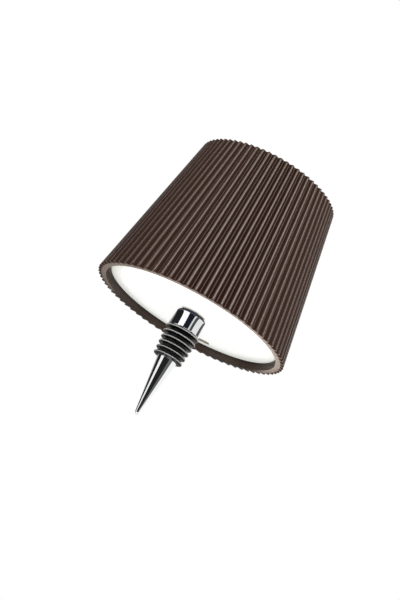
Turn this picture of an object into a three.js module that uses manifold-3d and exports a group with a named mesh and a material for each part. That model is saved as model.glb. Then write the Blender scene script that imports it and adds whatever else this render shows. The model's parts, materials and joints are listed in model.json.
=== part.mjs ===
// A cordless table lamp that plugs into the neck of an empty bottle: a ribbed, tapered shade with its
// light, battery and switch inside, on a stopper with a finned sleeve and a pointed spike.
// Millimetres, +Z up. The origin is on the axis, in the plane of the bottle's mouth, where the
// underside of the stopper's top fin lies. The charging port is on the +Y side.
import * as THREE from "three";
import { mergeVertices } from "three/addons/utils/BufferGeometryUtils.js";
import Module from "manifold-3d";

const wasm = await Module();
wasm.setup();

// Clearances
const slipGap = 0.3; // between pieces that slide, turn or drop into each other
const edgeGap = 0.35; // round the discs that drop into the shade
const threadGap = 0.3; // between the stud and the socket that it screws into

// Stopper
const finCount = 6;
const finPitch = 3.05;
const finThickness = 1.5; // at the root
const finEdge = 0.9; // at the tip
const topFinRadius = 9.6;
const lowFinRadius = 8.2;
const sleeveRadius = 7; // at the bottom of the grooves
const spindleRadius = 4.5;
const collarRadius = 8.9;
const collarHeight = 10.8;
const collarRound = 2.5; // round of the collar's upper edge
const spikeLength = 32.75;
const spikeBaseRadius = 5.5;
const spikeTipRadius = 1.2;
const studRadius = 4;
const studLength = 18;
const studInCollar = 6.5;
const spindleInCollar = 3.5;
const washerThickness = 0.7;
const washerWidth = 1.8;

// Shade
const rimRadius = 55; // over the ribs, at the lower rim
const crownRadius = 40.1; // over the ribs, at the top
const shadeHeight = 87.6;
const ribCount = 72;
const ribDepth = 2; // at the rim; it shrinks with the taper
const shadeWall = 1.55; // behind the valleys
const rimFlat = 2.75; // width of the rim's flat face inside the valleys
const bossCount = 3;
const bossRadius = 3.2;
const bossHeight = 8;
const bossInset = 4.5; // screw circle, in from the bore

// Top
const topRecess = 0.8; // top cover below the shade's upper edge
const topThickness = 2.6;
const ledgeWidth = 6.5;
const ledgeThickness = 2;
const gasketThickness = 0.8;
const gasketWidth = 2;
const topScrewInset = 4.5;
const topScrewCount = 3;
const topScrewDepth = 1.6; // how far the screws reach into the top cover
const buttonRadius = 7;
const buttonProud = 0.5; // above the top cover
const buttonFlange = 1.2; // thickness and width of the flange that keeps the button in
const buttonStemRadius = 2.4;
const buttonStemLength = 2.5;
const switchSide = 6;
const switchHeight = 4;
const plungerRadius = 1.7;
const plungerProud = 1.5; // above the switch, more than the button's travel
const plungerDepth = 1.8; // inside the switch at rest
const plungerFree = 1.2; // free depth below the plunger
const switchBoardWidth = 14;
const postRadius = 2.4;
const postGap = 1; // between the button's flange and the posts
const postMargin = 3; // switch board past the posts' middles

// Light
const diffuserRecess = 3.6; // diffuser's face above the rim
const diffuserThickness = 2;
const diffuserRound = 1.2;
const diffuserSkirt = 1.8;
const mixingDepth = 6; // from the diffuser to the lamps
const ledCount = 8;
const ledSize = 3;
const ledHeight = 0.8;
const ledInset = 8; // ring of lamps, in from the board's edge
const ledScrewCount = 3;
const ledScrewCircle = 17;
const ledScrewStart = Math.PI / 6; // first screw, round from +X
const boardThickness = 1.6; // all circuit boards
const reflectorWall = 1.4;
const reflectorFlange = 3;

// Chassis and socket
const chassisThickness = 2;
const socketWall = 2.5;
const socketFlangeWidth = 3.6;
const socketFlangeThickness = 1.6;
const socketDepth = 14;
const socketNeckRadius = 6;
const nutHeight = 5;
const nutWall = 3;
const nutSides = 6;
const neckProud = 1.5; // above the nut

// Charging port
const portInset = 6.5; // port's centre, in from the diffuser's edge
const portLength = 9;
const portWidth = 3.2;
const portWall = 0.35;
const portTongueLength = 6.6;
const portTongueThickness = 0.7;
const portTongueDepth = 4.4;
const portFloor = 1.2;
const coverLength = 10.6;
const coverWidth = 5;
const coverThickness = 1.6;
const coverCorner = 1.5;
const chargeBoardLength = 22;
const chargeBoardInner = 5; // board's inner edge, in from the port's centre
const chargeBoardOuter = 2.5; // board's outer edge, out from the port's centre
const chargeScrewInset = 2.2;

// Battery
const batteryRadius = 9.25;
const batteryLength = 66.5;
const cradleGap = 1; // above the socket's neck
const cradleFloor = 1.5;
const cradleCheek = 3.5; // height of the saddle's sides
const cradleLength = 52;
const cradleLeg = 2.5;
const cradleFoot = 10;
const strapWidth = 8;
const strapThickness = 0.8;
const strapHook = 1.5;

// Main board
const mainBoardLength = 44;
const mainBoardWidth = 20;
const mainBoardGap = 4; // beside the battery's strap
const standoffHeight = 4;
const standoffRadius = 2.6;
const standoffInset = 3;
const chipSide = 7;
const chipHeight = 1.2;
const inductorRadius = 4;
const inductorHeight = 4.5;
const headerLength = 6;
const headerWidth = 4;
const headerHeight = 4;
const partGap = 1.5; // round the parts on the main board

// Screws and leads
const screwRadius = 1;
const screwHeadRadius = 1.9;
const screwHeadHeight = 1.3;
const screwEnd = 2; // from the tip of a screw in a post to the post's far end
const leadRadius = 0.9;
const leadHoleRadius = 1.4;
const leadRise = 4; // how high a lead arches above where it starts
const leadShift = 6; // leads through the chassis, sideways from the middle

// Smoothness of the round faces
const fineSides = 48;
const midSides = 32;
const smallSides = 10;
const ribSteps = 6;
const roundSteps = 4;
const leadSides = 8;
const leadSteps = 10;
const mergeDistance = 1e-4;
const overcut = 1; // how far cutting tools run past what they cut

// Heights of the stack, from the bottle's mouth up
const sleeveTop = finThickness;
const sleeveBottom = sleeveTop - finThickness - (finCount - 1) * finPitch;
const collarBottom = sleeveTop;
const collarTop = collarBottom + collarHeight;
const socketBottom = collarTop + washerThickness;
const diffuserFace = collarTop + slipGap;
const diffuserTop = diffuserFace + diffuserThickness;
const ledBoardBottom = diffuserTop + mixingDepth + ledHeight;
const chassisBottom = ledBoardBottom + boardThickness;
const chassisTop = chassisBottom + chassisThickness;
const rimZ = diffuserFace - diffuserRecess;
const crownZ = rimZ + shadeHeight;
const topCoverTop = crownZ - topRecess;
const topCoverBottom = topCoverTop - topThickness;
const ledgeTop = topCoverBottom - gasketThickness;
const ledgeBottom = ledgeTop - ledgeThickness;
const buttonTop = topCoverTop + buttonProud;
const flangeTop = topCoverBottom - slipGap;
const stemTop = flangeTop - buttonFlange;
const stemBottom = stemTop - buttonStemLength;
const switchTop = stemBottom - plungerProud;
const switchBoardTop = switchTop - switchHeight;
const switchBoardBottom = switchBoardTop - boardThickness;
const neckTop = chassisTop + nutHeight + neckProud;
const deckBottom = neckTop + cradleGap;
const batteryAxisZ = deckBottom + cradleFloor + slipGap + batteryRadius;
const deckTop = deckBottom + cradleFloor + cradleCheek;
const mainBoardBottom = chassisTop + standoffHeight;
const mainBoardTop = mainBoardBottom + boardThickness;

// Radii and places that follow from the driving sizes
const taperAt = (z) => 1 - ((1 - crownRadius / rimRadius) * (z - rimZ)) / shadeHeight;
const valleyRadius = (z) => (rimRadius - ribDepth) * taperAt(z);
const innerRadius = (z) => valleyRadius(z) - shadeWall;
const lipRadius = rimRadius - ribDepth - rimFlat;
const boreRadius = innerRadius(chassisTop);
const boreAt = (z) => lipRadius - ((lipRadius - boreRadius) * (z - rimZ)) / (chassisTop - rimZ);
const bossCircle = boreRadius - bossInset;
const diffuserRadius = boreAt(diffuserFace + diffuserRound) - edgeGap;
const plateRadius = boreRadius - edgeGap;
const skirtRadius = plateRadius - diffuserSkirt;
const seatRadius = innerRadius(crownZ);
const ledgeRadius = seatRadius - ledgeWidth;
const topScrewCircle = seatRadius - topScrewInset;
const socketBore = studRadius + threadGap;
const socketRadius = socketBore + socketWall;
const socketFlangeRadius = socketRadius + socketFlangeWidth;
const portY = plateRadius - portInset;
const chargeBoardNear = portY - chargeBoardInner;
const chargeBoardFar = portY + chargeBoardOuter;
const ledBoardRadius = chargeBoardNear - slipGap;
const ledBoardHole = socketFlangeRadius + slipGap;
const ledCircle = ledBoardRadius - ledInset;
const deckHalf = batteryRadius;
const strapInner = batteryRadius + slipGap;
const strapOuter = strapInner + strapThickness;
const mainBoardNear = strapOuter + mainBoardGap;
const mainBoardY = mainBoardNear + mainBoardWidth / 2;
const screwHole = screwRadius + slipGap;
const footX = cradleLength / 2 + cradleFoot / 2;
const buttonFlangeRadius = buttonRadius + buttonFlange;
const postX = buttonFlangeRadius + postGap + postRadius;
const switchBoardLength = (postX + postMargin) * 2;
const chargeScrewX = chargeBoardLength / 2 - chargeScrewInset;
const chargeScrewY = (chargeBoardNear + chargeBoardFar) / 2;

// Finishes
const finish = (color, roughness, metalness) => ({ color, roughness, metalness });
const satinBrown = finish(0x46352f, 0.42, 0);
const opalWhite = finish(0xf0f0ec, 0.35, 0);
const polishedChrome = finish(0xd9dcdf, 0.06, 1);
const blackSilicone = finish(0x17181a, 0.45, 0);
const whiteSilicone = finish(0xe9e9e5, 0.55, 0);
const bareAluminium = finish(0xb4b7ba, 0.4, 1);
const plainSteel = finish(0x9a9da1, 0.35, 1);
const brassGold = finish(0xb89550, 0.35, 1);
const boardGreen = finish(0x1d5136, 0.5, 0);
const boardWhite = finish(0xe6e8e6, 0.5, 0);
const partBlack = finish(0x1b1b1d, 0.5, 0);
const lampYellow = finish(0xe8cf6a, 0.4, 0);
const wrapBlue = finish(0x2c5b8f, 0.35, 0);
const naturalNylon = finish(0xe2ddd0, 0.5, 0);
const greyRubber = finish(0x55575a, 0.7, 0);
const leadRed = finish(0x8e2420, 0.5, 0);

// Shape helpers: every profile is a list of [radius, height] pairs that runs counter-clockwise.
const turned = (profile, sides) => {
  const points = profile.map(([radius, height]) => new THREE.Vector2(radius, height));
  return new THREE.LatheGeometry(points, sides).rotateX(Math.PI / 2);
};
const ring = (inner, outer, bottom, top, sides) =>
  turned([[inner, bottom], [outer, bottom], [outer, top], [inner, top], [inner, bottom]], sides);
const rod = (radius, bottom, top, sides) =>
  turned([[0, bottom], [radius, bottom], [radius, top], [0, top]], sides);
const block = (width, depth, bottom, top) =>
  new THREE.BoxGeometry(width, depth, top - bottom).translate(0, 0, (bottom + top) / 2);
const slab = (shape, bottom, top) =>
  new THREE.ExtrudeGeometry(shape, { depth: top - bottom, bevelEnabled: false }).translate(0, 0, bottom);

// Points of an elliptical quarter turn from one corner to another, the first one left out.
const quarter = (from, to, steps, alongFirst) => {
  const points = [];
  for (let step = 1; step <= steps; step += 1) {
    const angle = (Math.PI / 2) * (step / steps);
    const first = alongFirst ? Math.sin(angle) : 1 - Math.cos(angle);
    const second = alongFirst ? 1 - Math.cos(angle) : Math.sin(angle);
    points.push([from[0] + (to[0] - from[0]) * first, from[1] + (to[1] - from[1]) * second]);
  }
  return points;
};

const roundedRectangle = (width, depth, corner) => {
  const shape = new THREE.Shape();
  const x = width / 2 - corner;
  const y = depth / 2 - corner;
  shape.absarc(x, y, corner, 0, Math.PI / 2);
  shape.absarc(-x, y, corner, Math.PI / 2, Math.PI);
  shape.absarc(-x, -y, corner, Math.PI, Math.PI * 1.5);
  shape.absarc(x, -y, corner, Math.PI * 1.5, Math.PI * 2);
  return shape;
};
const roundedSlab = (width, depth, corner, bottom, top) =>
  new THREE.ExtrudeGeometry(roundedRectangle(width, depth, corner), {
    depth: top - bottom,
    bevelEnabled: false,
    curveSegments: roundSteps,
  }).translate(0, 0, bottom);

// Boolean joins and cuts
const toSolid = (geometry) => {
  const bare = geometry.clone();
  bare.deleteAttribute("normal");
  bare.deleteAttribute("uv");
  const merged = mergeVertices(bare, mergeDistance);
  const vertProperties = merged.attributes.position.array;
  const triVerts = new Uint32Array(merged.index.array);
  return new wasm.Manifold(new wasm.Mesh({ numProp: 3, vertProperties, triVerts }));
};
const toGeometry = (solid) => {
  const mesh = solid.getMesh();
  const geometry = new THREE.BufferGeometry();
  geometry.setAttribute("position", new THREE.BufferAttribute(mesh.vertProperties, 3));
  geometry.setIndex(new THREE.BufferAttribute(mesh.triVerts, 1));
  geometry.computeVertexNormals();
  return geometry;
};
const cut = (body, tools) =>
  toGeometry(tools.reduce((solid, tool) => solid.subtract(toSolid(tool)), toSolid(body)));
const join = (body, others) =>
  toGeometry(others.reduce((solid, other) => solid.add(toSolid(other)), toSolid(body)));
const common = (body, other) => toGeometry(toSolid(body).intersect(toSolid(other)));

const lamp = new THREE.Group();
const piece = (name, geometry, look, parent = lamp) => {
  const mesh = new THREE.Mesh(geometry, new THREE.MeshStandardMaterial(look));
  mesh.name = name;
  parent.add(mesh);
  return mesh;
};

// Angles of copies spread evenly round the axis, and a place on such a circle.
const spread = (count, first) => Array.from({ length: count }, (_, i) => first + (i * 2 * Math.PI) / count);
const onCircle = (radius, angle) => [radius * Math.cos(angle), radius * Math.sin(angle)];
const drill = (radius, x, y, bottom, top) => rod(radius, bottom, top, smallSides).translate(x, y, 0);

// A screw whose head rests against a face at z. It points up, or down when its direction is -1.
const screw = (name, x, y, z, reach, direction) => {
  const profile = [
    [0, -screwHeadHeight],
    [screwHeadRadius, -screwHeadHeight],
    [screwHeadRadius, 0],
    [screwRadius, 0],
    [screwRadius, reach],
    [0, reach],
  ];
  const mesh = piece(name, turned(profile, smallSides), plainSteel);
  mesh.position.set(x, y, z);
  mesh.rotation.x = direction > 0 ? 0 : Math.PI;
};

// A two-core lead along a smooth line through the given points.
const lead = (name, points, look) => {
  const corners = spread(leadSides, 0).map((angle) => new THREE.Vector2(...onCircle(leadRadius, angle)));
  const section = new THREE.Shape(corners);
  const extrudePath = new THREE.CatmullRomCurve3(points.map((point) => new THREE.Vector3(...point)));
  const options = { steps: leadSteps, bevelEnabled: false, extrudePath };
  piece(name, new THREE.ExtrudeGeometry(section, options), look);
};

// Stopper: collar, finned sleeve, spike and the stud that the lamp screws onto
const collarShoulder = collarTop - collarRound;
const collar = [
  [socketBore, collarBottom],
  [collarRadius, collarBottom],
  [collarRadius, collarShoulder],
  ...quarter([collarRadius, collarShoulder], [collarRadius - collarRound, collarTop], roundSteps, false),
  [socketBore, collarTop],
  [socketBore, collarBottom],
];
piece("stopper_collar", turned(collar, midSides), polishedChrome);

const sleeveBore = spindleRadius + slipGap;
const sleeve = [[sleeveBore, sleeveBottom]];
for (let fin = finCount - 1; fin >= 0; fin -= 1) {
  const low = sleeveTop - finThickness - fin * finPitch;
  const high = low + finThickness;
  const middle = (low + high) / 2;
  const radius = topFinRadius + ((lowFinRadius - topFinRadius) * fin) / (finCount - 1);
  sleeve.push([sleeveRadius, low]);
  sleeve.push([radius, middle - finEdge / 2]);
  sleeve.push([radius, middle + finEdge / 2]);
  sleeve.push([sleeveRadius, high]);
}
sleeve.push([sleeveBore, sleeveTop]);
sleeve.push([sleeveBore, sleeveBottom]);
piece("stopper_sleeve", turned(sleeve, midSides), blackSilicone);

const spikeTop = collarBottom + spindleInCollar;
const spikeTip = sleeveBottom - spikeLength;
const spike = [
  [0, spikeTip],
  ...quarter([0, spikeTip], [spikeTipRadius, spikeTip + spikeTipRadius], roundSteps, true),
  [spikeBaseRadius, sleeveBottom],
  [spindleRadius, sleeveBottom],
  [spindleRadius, collarBottom],
  [studRadius, collarBottom],
  [studRadius, spikeTop],
  [0, spikeTop],
];
piece("stopper_spike", turned(spike, midSides), polishedChrome);

const studBottom = collarTop - studInCollar;
piece("threaded_stud", rod(studRadius, studBottom, studBottom + studLength, midSides), plainSteel);

const washerRadius = socketBore + washerWidth;
piece("thread_washer", ring(socketBore, washerRadius, collarTop, socketBottom, midSides), naturalNylon);

// Shade: a ribbed outline drawn up into a tapered block, hollowed from below and from above
const ribbedBlock = () => {
  const outline = [];
  for (let step = 0; step < ribCount * ribSteps; step += 1) {
    const wave = (1 + Math.cos((2 * Math.PI * step) / ribSteps)) / 2;
    const radius = rimRadius - ribDepth * (1 - wave);
    const angle = (2 * Math.PI * step) / (ribCount * ribSteps) - Math.PI / 2;
    outline.push(new THREE.Vector2(...onCircle(radius, angle)));
  }
  const tapered = slab(new THREE.Shape(outline), rimZ, crownZ);
  const spots = tapered.attributes.position;
  for (let i = 0; i < spots.count; i += 1) {
    const scale = taperAt(spots.getZ(i));
    spots.setXY(i, spots.getX(i) * scale, spots.getY(i) * scale);
  }
  return tapered;
};
const hollow = turned(
  [
    [0, rimZ - overcut],
    [lipRadius, rimZ - overcut],
    [lipRadius, rimZ],
    [boreRadius, chassisTop],
    [innerRadius(ledgeBottom), ledgeBottom],
    [ledgeRadius, ledgeBottom],
    [ledgeRadius, ledgeTop],
    [seatRadius, ledgeTop],
    [seatRadius, crownZ + overcut],
    [0, crownZ + overcut],
  ],
  fineSides,
);
const wallRadius = (z) => valleyRadius(z) - shadeWall / 2;
const core = turned(
  [[0, rimZ], [wallRadius(rimZ), rimZ], [wallRadius(crownZ), crownZ], [0, crownZ]],
  fineSides,
);
const bossAngles = spread(bossCount, -Math.PI / 2);
const bossTop = chassisTop + bossHeight;
const boss = (angle) => {
  const webLength = rimRadius - bossCircle;
  const webMiddle = bossCircle + webLength / 2;
  const web = block(webLength, bossRadius * 2, chassisTop, bossTop).translate(webMiddle, 0, 0);
  const post = rod(bossRadius, chassisTop, bossTop, smallSides).translate(bossCircle, 0, 0);
  return common(join(web, [post]).rotateZ(angle), core);
};
const topScrewAngles = spread(topScrewCount, Math.PI / 2);
const topScrewHoles = topScrewAngles.map((angle) =>
  drill(screwHole, ...onCircle(topScrewCircle, angle), ledgeBottom - overcut, ledgeTop + overcut),
);
const bossHoles = bossAngles.map((angle) =>
  drill(screwHole, ...onCircle(bossCircle, angle), chassisTop - overcut, bossTop - overcut),
);
const shell = join(cut(ribbedBlock(), [hollow]), bossAngles.map(boss));
piece("shade", cut(shell, [...bossHoles, ...topScrewHoles]), satinBrown);

// Top cover with its gasket, button and switch
const topCoverRadius = seatRadius - edgeGap;
const postPlaces = [[-postX, 0], [postX, 0]];
const posts = postPlaces.map(([x, y]) =>
  rod(postRadius, switchBoardTop, topCoverBottom + overcut, smallSides).translate(x, y, 0),
);
const postHoles = postPlaces.map(([x, y]) =>
  drill(screwHole, x, y, switchBoardTop - overcut, topCoverBottom - overcut),
);
const coverScrewHoles = topScrewAngles.map((angle) => {
  const top = topCoverBottom + topScrewDepth + slipGap;
  return drill(screwHole, ...onCircle(topScrewCircle, angle), topCoverBottom - overcut, top);
});
const coverDisc = ring(buttonRadius + slipGap, topCoverRadius, topCoverBottom, topCoverTop, fineSides);
piece("top_cover", cut(join(coverDisc, posts), [...postHoles, ...coverScrewHoles]), satinBrown);
const gasketRadius = topCoverRadius - gasketWidth;
piece("top_gasket", ring(gasketRadius, topCoverRadius, ledgeTop, topCoverBottom, fineSides), greyRubber);
const topScrewReach = ledgeThickness + gasketThickness + topScrewDepth;
topScrewAngles.forEach((angle, i) => {
  screw(`top_screw_${i + 1}`, ...onCircle(topScrewCircle, angle), ledgeBottom, topScrewReach, 1);
});

const button = [
  [0, stemBottom],
  [buttonStemRadius, stemBottom],
  [buttonStemRadius, stemTop],
  [buttonFlangeRadius, stemTop],
  [buttonFlangeRadius, flangeTop],
  [buttonRadius, flangeTop],
  [buttonRadius, buttonTop],
  [0, buttonTop],
];
piece("power_button", turned(button, midSides), satinBrown);
const plungerBottom = switchTop - plungerDepth;
piece("switch_plunger", rod(plungerRadius, plungerBottom, stemBottom, smallSides), partBlack);
const plungerBore = drill(plungerRadius + slipGap, 0, 0, plungerBottom - plungerFree, switchTop + overcut);
piece("tact_switch", cut(block(switchSide, switchSide, switchBoardTop, switchTop), [plungerBore]), partBlack);
const boardHoles = (places, bottom, top) =>
  places.map(([x, y]) => drill(screwHole, x, y, bottom - overcut, top + overcut));
const switchBoard = block(switchBoardLength, switchBoardWidth, switchBoardBottom, switchBoardTop);
const switchBoardHoles = boardHoles(postPlaces, switchBoardBottom, switchBoardTop);
piece("switch_board", cut(switchBoard, switchBoardHoles), boardGreen);
const switchScrewReach = topCoverBottom - switchBoardBottom - screwEnd;
postPlaces.forEach(([x, y], i) => {
  screw(`switch_screw_${i + 1}`, x, y, switchBoardBottom, switchScrewReach, 1);
});

// Chassis plate, carrying everything else, and the threaded socket through its middle
const boardPlaces = [];
for (const side of [-1, 1]) {
  const x = side * (mainBoardLength / 2 - standoffInset);
  boardPlaces.push([x, mainBoardY + side * (mainBoardWidth / 2 - standoffInset)]);
}
const footPlaces = [[-footX, 0], [footX, 0]];
const ledScrewAngles = spread(ledScrewCount, ledScrewStart);
const ledScrewPlaces = ledScrewAngles.map((angle) => onCircle(ledScrewCircle, angle));
const bossPlaces = bossAngles.map((angle) => onCircle(bossCircle, angle));
const chargeScrewPlaces = [[-chargeScrewX, chargeScrewY], [chargeScrewX, chargeScrewY]];
const ledLeadPlace = [-leadShift, mainBoardNear - mainBoardGap / 2];
const chargeLeadPlace = [leadShift, chargeBoardFar - leadHoleRadius - slipGap];
const standoffs = boardPlaces.map(([x, y]) =>
  rod(standoffRadius, chassisBottom, mainBoardBottom, smallSides).translate(x, y, 0),
);
const chassisDisc = ring(socketNeckRadius + slipGap, plateRadius, chassisBottom, chassisTop, fineSides);
const screwPlaces = [...bossPlaces, ...footPlaces, ...ledScrewPlaces, ...chargeScrewPlaces];
const standoffHoles = boardPlaces.map(([x, y]) =>
  drill(screwHole, x, y, chassisTop, mainBoardBottom + overcut),
);
const leadHoles = [ledLeadPlace, chargeLeadPlace].map(([x, y]) =>
  drill(leadHoleRadius, x, y, chassisBottom - overcut, chassisTop + overcut),
);
const chassisHoles = [...boardHoles(screwPlaces, chassisBottom, chassisTop), ...standoffHoles, ...leadHoles];
piece("chassis", cut(join(chassisDisc, standoffs), chassisHoles), bareAluminium);
const chassisScrewReach = chassisThickness + bossHeight - screwEnd;
bossPlaces.forEach(([x, y], i) => {
  screw(`chassis_screw_${i + 1}`, x, y, chassisBottom, chassisScrewReach, 1);
});

const socketFlangeBottom = chassisBottom - socketFlangeThickness;
const socketTop = socketBottom + socketDepth;
const socket = [
  [socketBore, socketBottom],
  [socketRadius, socketBottom],
  [socketRadius, socketFlangeBottom],
  [socketFlangeRadius, socketFlangeBottom],
  [socketFlangeRadius, chassisBottom],
  [socketNeckRadius, chassisBottom],
  [socketNeckRadius, neckTop],
  [0, neckTop],
  [0, socketTop],
  [socketBore, socketTop],
  [socketBore, socketBottom],
];
piece("stopper_socket", turned(socket, midSides), brassGold);
const nutBore = socketNeckRadius + threadGap;
const nutHole = rod(nutBore, chassisTop - overcut, chassisTop + nutHeight + overcut, midSides);
const nutCorner = (nutBore + nutWall) / Math.cos(Math.PI / nutSides);
const hexagon = rod(nutCorner, chassisTop, chassisTop + nutHeight, nutSides);
piece("socket_nut", cut(hexagon, [nutHole]), brassGold);

// Light: board, lamps, reflector and diffuser
const ledBoard = ring(ledBoardHole, ledBoardRadius, ledBoardBottom, chassisBottom, fineSides);
piece("led_board", cut(ledBoard, boardHoles(ledScrewPlaces, ledBoardBottom, chassisBottom)), boardWhite);
spread(ledCount, Math.PI / ledCount).forEach((angle, i) => {
  const led = block(ledSize, ledSize, ledBoardBottom - ledHeight, ledBoardBottom);
  piece(`led_${i + 1}`, led, lampYellow).position.set(...onCircle(ledCircle, angle), 0);
});
const ledScrewReach = boardThickness + chassisThickness - slipGap;
ledScrewPlaces.forEach(([x, y], i) => {
  screw(`led_screw_${i + 1}`, x, y, ledBoardBottom, ledScrewReach, 1);
});

const reflectorInner = ledBoardRadius + slipGap;
const reflectorOuter = skirtRadius - slipGap;
const reflector = turned(
  [
    [reflectorOuter - reflectorWall, diffuserTop],
    [reflectorOuter, diffuserTop],
    [reflectorOuter, diffuserTop + reflectorWall],
    [reflectorInner + reflectorFlange, chassisBottom],
    [reflectorInner, chassisBottom],
    [reflectorInner, ledBoardBottom],
    [reflectorOuter - reflectorWall, diffuserTop],
  ],
  fineSides,
);
const notchLength = chargeBoardLength + edgeGap * 2;
const notch = block(notchLength, rimRadius - chargeBoardNear, diffuserFace, chassisTop)
  .translate(0, (rimRadius + chargeBoardNear) / 2 - edgeGap, 0);
const chassisScrewNotches = bossPlaces.map(([x, y]) =>
  drill(screwHeadRadius + slipGap, x, y, chassisBottom - screwHeadHeight - slipGap, chassisBottom + overcut),
);
piece("reflector", cut(reflector, [notch, ...chassisScrewNotches]), opalWhite);

const diffuser = turned(
  [
    [socketRadius + slipGap, diffuserFace],
    [diffuserRadius - diffuserRound, diffuserFace],
    ...quarter(
      [diffuserRadius - diffuserRound, diffuserFace],
      [diffuserRadius, diffuserFace + diffuserRound],
      roundSteps,
      true,
    ),
    [boreAt(chassisBottom) - edgeGap, chassisBottom],
    [skirtRadius, chassisBottom],
    [skirtRadius, diffuserTop],
    [socketRadius + slipGap, diffuserTop],
    [socketRadius + slipGap, diffuserFace],
  ],
  fineSides,
);
const slotLength = coverLength + slipGap * 2;
const slotWidth = coverWidth + slipGap * 2;
const slotCorner = coverCorner + slipGap;
const slot = roundedSlab(slotLength, slotWidth, slotCorner, diffuserFace - overcut, diffuserTop + overcut)
  .translate(0, portY, 0);
piece("diffuser", cut(diffuser, [slot]), opalWhite);

// Charging port: board, receptacle and the soft cover that lies flush in the diffuser
const chargeBoardBottom = chassisBottom - boardThickness;
const chargeBoardDepth = chargeBoardFar - chargeBoardNear;
const chargeBoard = block(chargeBoardLength, chargeBoardDepth, chargeBoardBottom, chassisBottom)
  .translate(0, chargeScrewY, 0);
const chargeBoardHoles = boardHoles(chargeScrewPlaces, chargeBoardBottom, chassisBottom);
piece("charge_board", cut(chargeBoard, chargeBoardHoles), boardGreen);
chargeScrewPlaces.forEach(([x, y], i) => {
  screw(`charge_screw_${i + 1}`, x, y, chargeBoardBottom, ledScrewReach, 1);
});
const portBottom = diffuserTop + slipGap;
const portFloorZ = chargeBoardBottom - portFloor;
const mouthLength = portLength - portWall * 2;
const mouthWidth = portWidth - portWall * 2;
const portBody = roundedSlab(portLength, portWidth, portWidth / 2, portBottom, chargeBoardBottom);
const portMouth = roundedSlab(mouthLength, mouthWidth, mouthWidth / 2, portBottom - overcut, portFloorZ);
const tongueEnd = portFloorZ - portTongueDepth;
const portTongue = block(portTongueLength, portTongueThickness, tongueEnd, chargeBoardBottom);
piece("usb_port", join(cut(portBody, [portMouth]), [portTongue]), plainSteel).position.y = portY;
const coverTop = diffuserFace + coverThickness;
const portCover = roundedSlab(coverLength, coverWidth, coverCorner, diffuserFace, coverTop);
piece("port_cover", portCover, whiteSilicone).position.y = portY;

// Battery on a bridge over the socket's nut, held by a strap
const bridge = new THREE.Shape();
const legOut = cradleLength / 2;
const legIn = legOut - cradleLeg;
const footOut = legOut + cradleFoot;
bridge.moveTo(-footOut, chassisTop);
bridge.lineTo(-legIn, chassisTop);
bridge.lineTo(-legIn, deckBottom);
bridge.lineTo(legIn, deckBottom);
bridge.lineTo(legIn, chassisTop);
bridge.lineTo(footOut, chassisTop);
bridge.lineTo(footOut, chassisTop + cradleLeg);
bridge.lineTo(legOut, chassisTop + cradleLeg);
bridge.lineTo(legOut, deckTop);
bridge.lineTo(-legOut, deckTop);
bridge.lineTo(-legOut, chassisTop + cradleLeg);
bridge.lineTo(-footOut, chassisTop + cradleLeg);
bridge.closePath();
const alongX = (radius, length, sides) =>
  rod(radius, -length / 2, length / 2, sides).rotateY(Math.PI / 2).translate(0, 0, batteryAxisZ);
const bridgeBlock = slab(bridge, -deckHalf, deckHalf).rotateX(Math.PI / 2);
const saddle = alongX(batteryRadius + slipGap, batteryLength, midSides);
const footHoles = boardHoles(footPlaces, chassisTop, chassisTop + cradleLeg);
piece("battery_cradle", cut(bridgeBlock, [saddle, ...footHoles]), partBlack);
piece("battery_cell", alongX(batteryRadius, batteryLength, midSides), wrapBlue);
const footScrewReach = cradleLeg + chassisThickness - slipGap;
footPlaces.forEach(([x, y], i) => {
  screw(`cradle_screw_${i + 1}`, x, y, chassisTop + cradleLeg, footScrewReach, -1);
});

const strap = new THREE.Shape();
const hookTop = deckBottom - slipGap;
const hookBottom = hookTop - strapThickness;
strap.moveTo(strapOuter, hookBottom);
strap.lineTo(strapOuter, batteryAxisZ);
strap.absarc(0, batteryAxisZ, strapOuter, 0, Math.PI, false);
strap.lineTo(-strapOuter, hookBottom);
strap.lineTo(-strapInner + strapHook, hookBottom);
strap.lineTo(-strapInner + strapHook, hookTop);
strap.lineTo(-strapInner, hookTop);
strap.lineTo(-strapInner, batteryAxisZ);
strap.absarc(0, batteryAxisZ, strapInner, Math.PI, 0, true);
strap.lineTo(strapInner, hookTop);
strap.lineTo(strapInner - strapHook, hookTop);
strap.lineTo(strapInner - strapHook, hookBottom);
strap.closePath();
const strapBand = new THREE.ExtrudeGeometry(strap, { depth: strapWidth, bevelEnabled: false })
  .translate(0, 0, -strapWidth / 2)
  .rotateX(Math.PI / 2)
  .rotateZ(Math.PI / 2);
piece("battery_strap", strapBand, greyRubber);

// Main board with its parts
const mainBoard = block(mainBoardLength, mainBoardWidth, mainBoardBottom, mainBoardTop)
  .translate(0, mainBoardY, 0);
const mainBoardHoles = boardHoles(boardPlaces, mainBoardBottom, mainBoardTop);
piece("main_board", cut(mainBoard, mainBoardHoles), boardGreen);
const boardScrewReach = boardThickness + standoffHeight - slipGap;
boardPlaces.forEach(([x, y], i) => {
  screw(`board_screw_${i + 1}`, x, y, mainBoardTop, boardScrewReach, -1);
});
const onBoard = (name, geometry, look, x, y) => {
  piece(name, geometry, look).position.set(x, y, mainBoardTop);
};
const chipX = -partGap - chipSide / 2;
const inductorX = partGap + inductorRadius;
onBoard("driver_chip", block(chipSide, chipSide, 0, chipHeight), partBlack, chipX, mainBoardY);
onBoard("inductor", rod(inductorRadius, 0, inductorHeight, midSides), partBlack, inductorX, mainBoardY);
const header = () => block(headerLength, headerWidth, 0, headerHeight);
const headerX = mainBoardLength / 2 - partGap - headerLength / 2;
const headerShift = mainBoardWidth / 2 - partGap - headerWidth / 2;
const batteryHeader = [headerX, mainBoardY - headerShift];
const switchHeader = [-headerX, mainBoardY + headerShift];
onBoard("battery_header", header(), boardWhite, ...batteryHeader);
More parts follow.
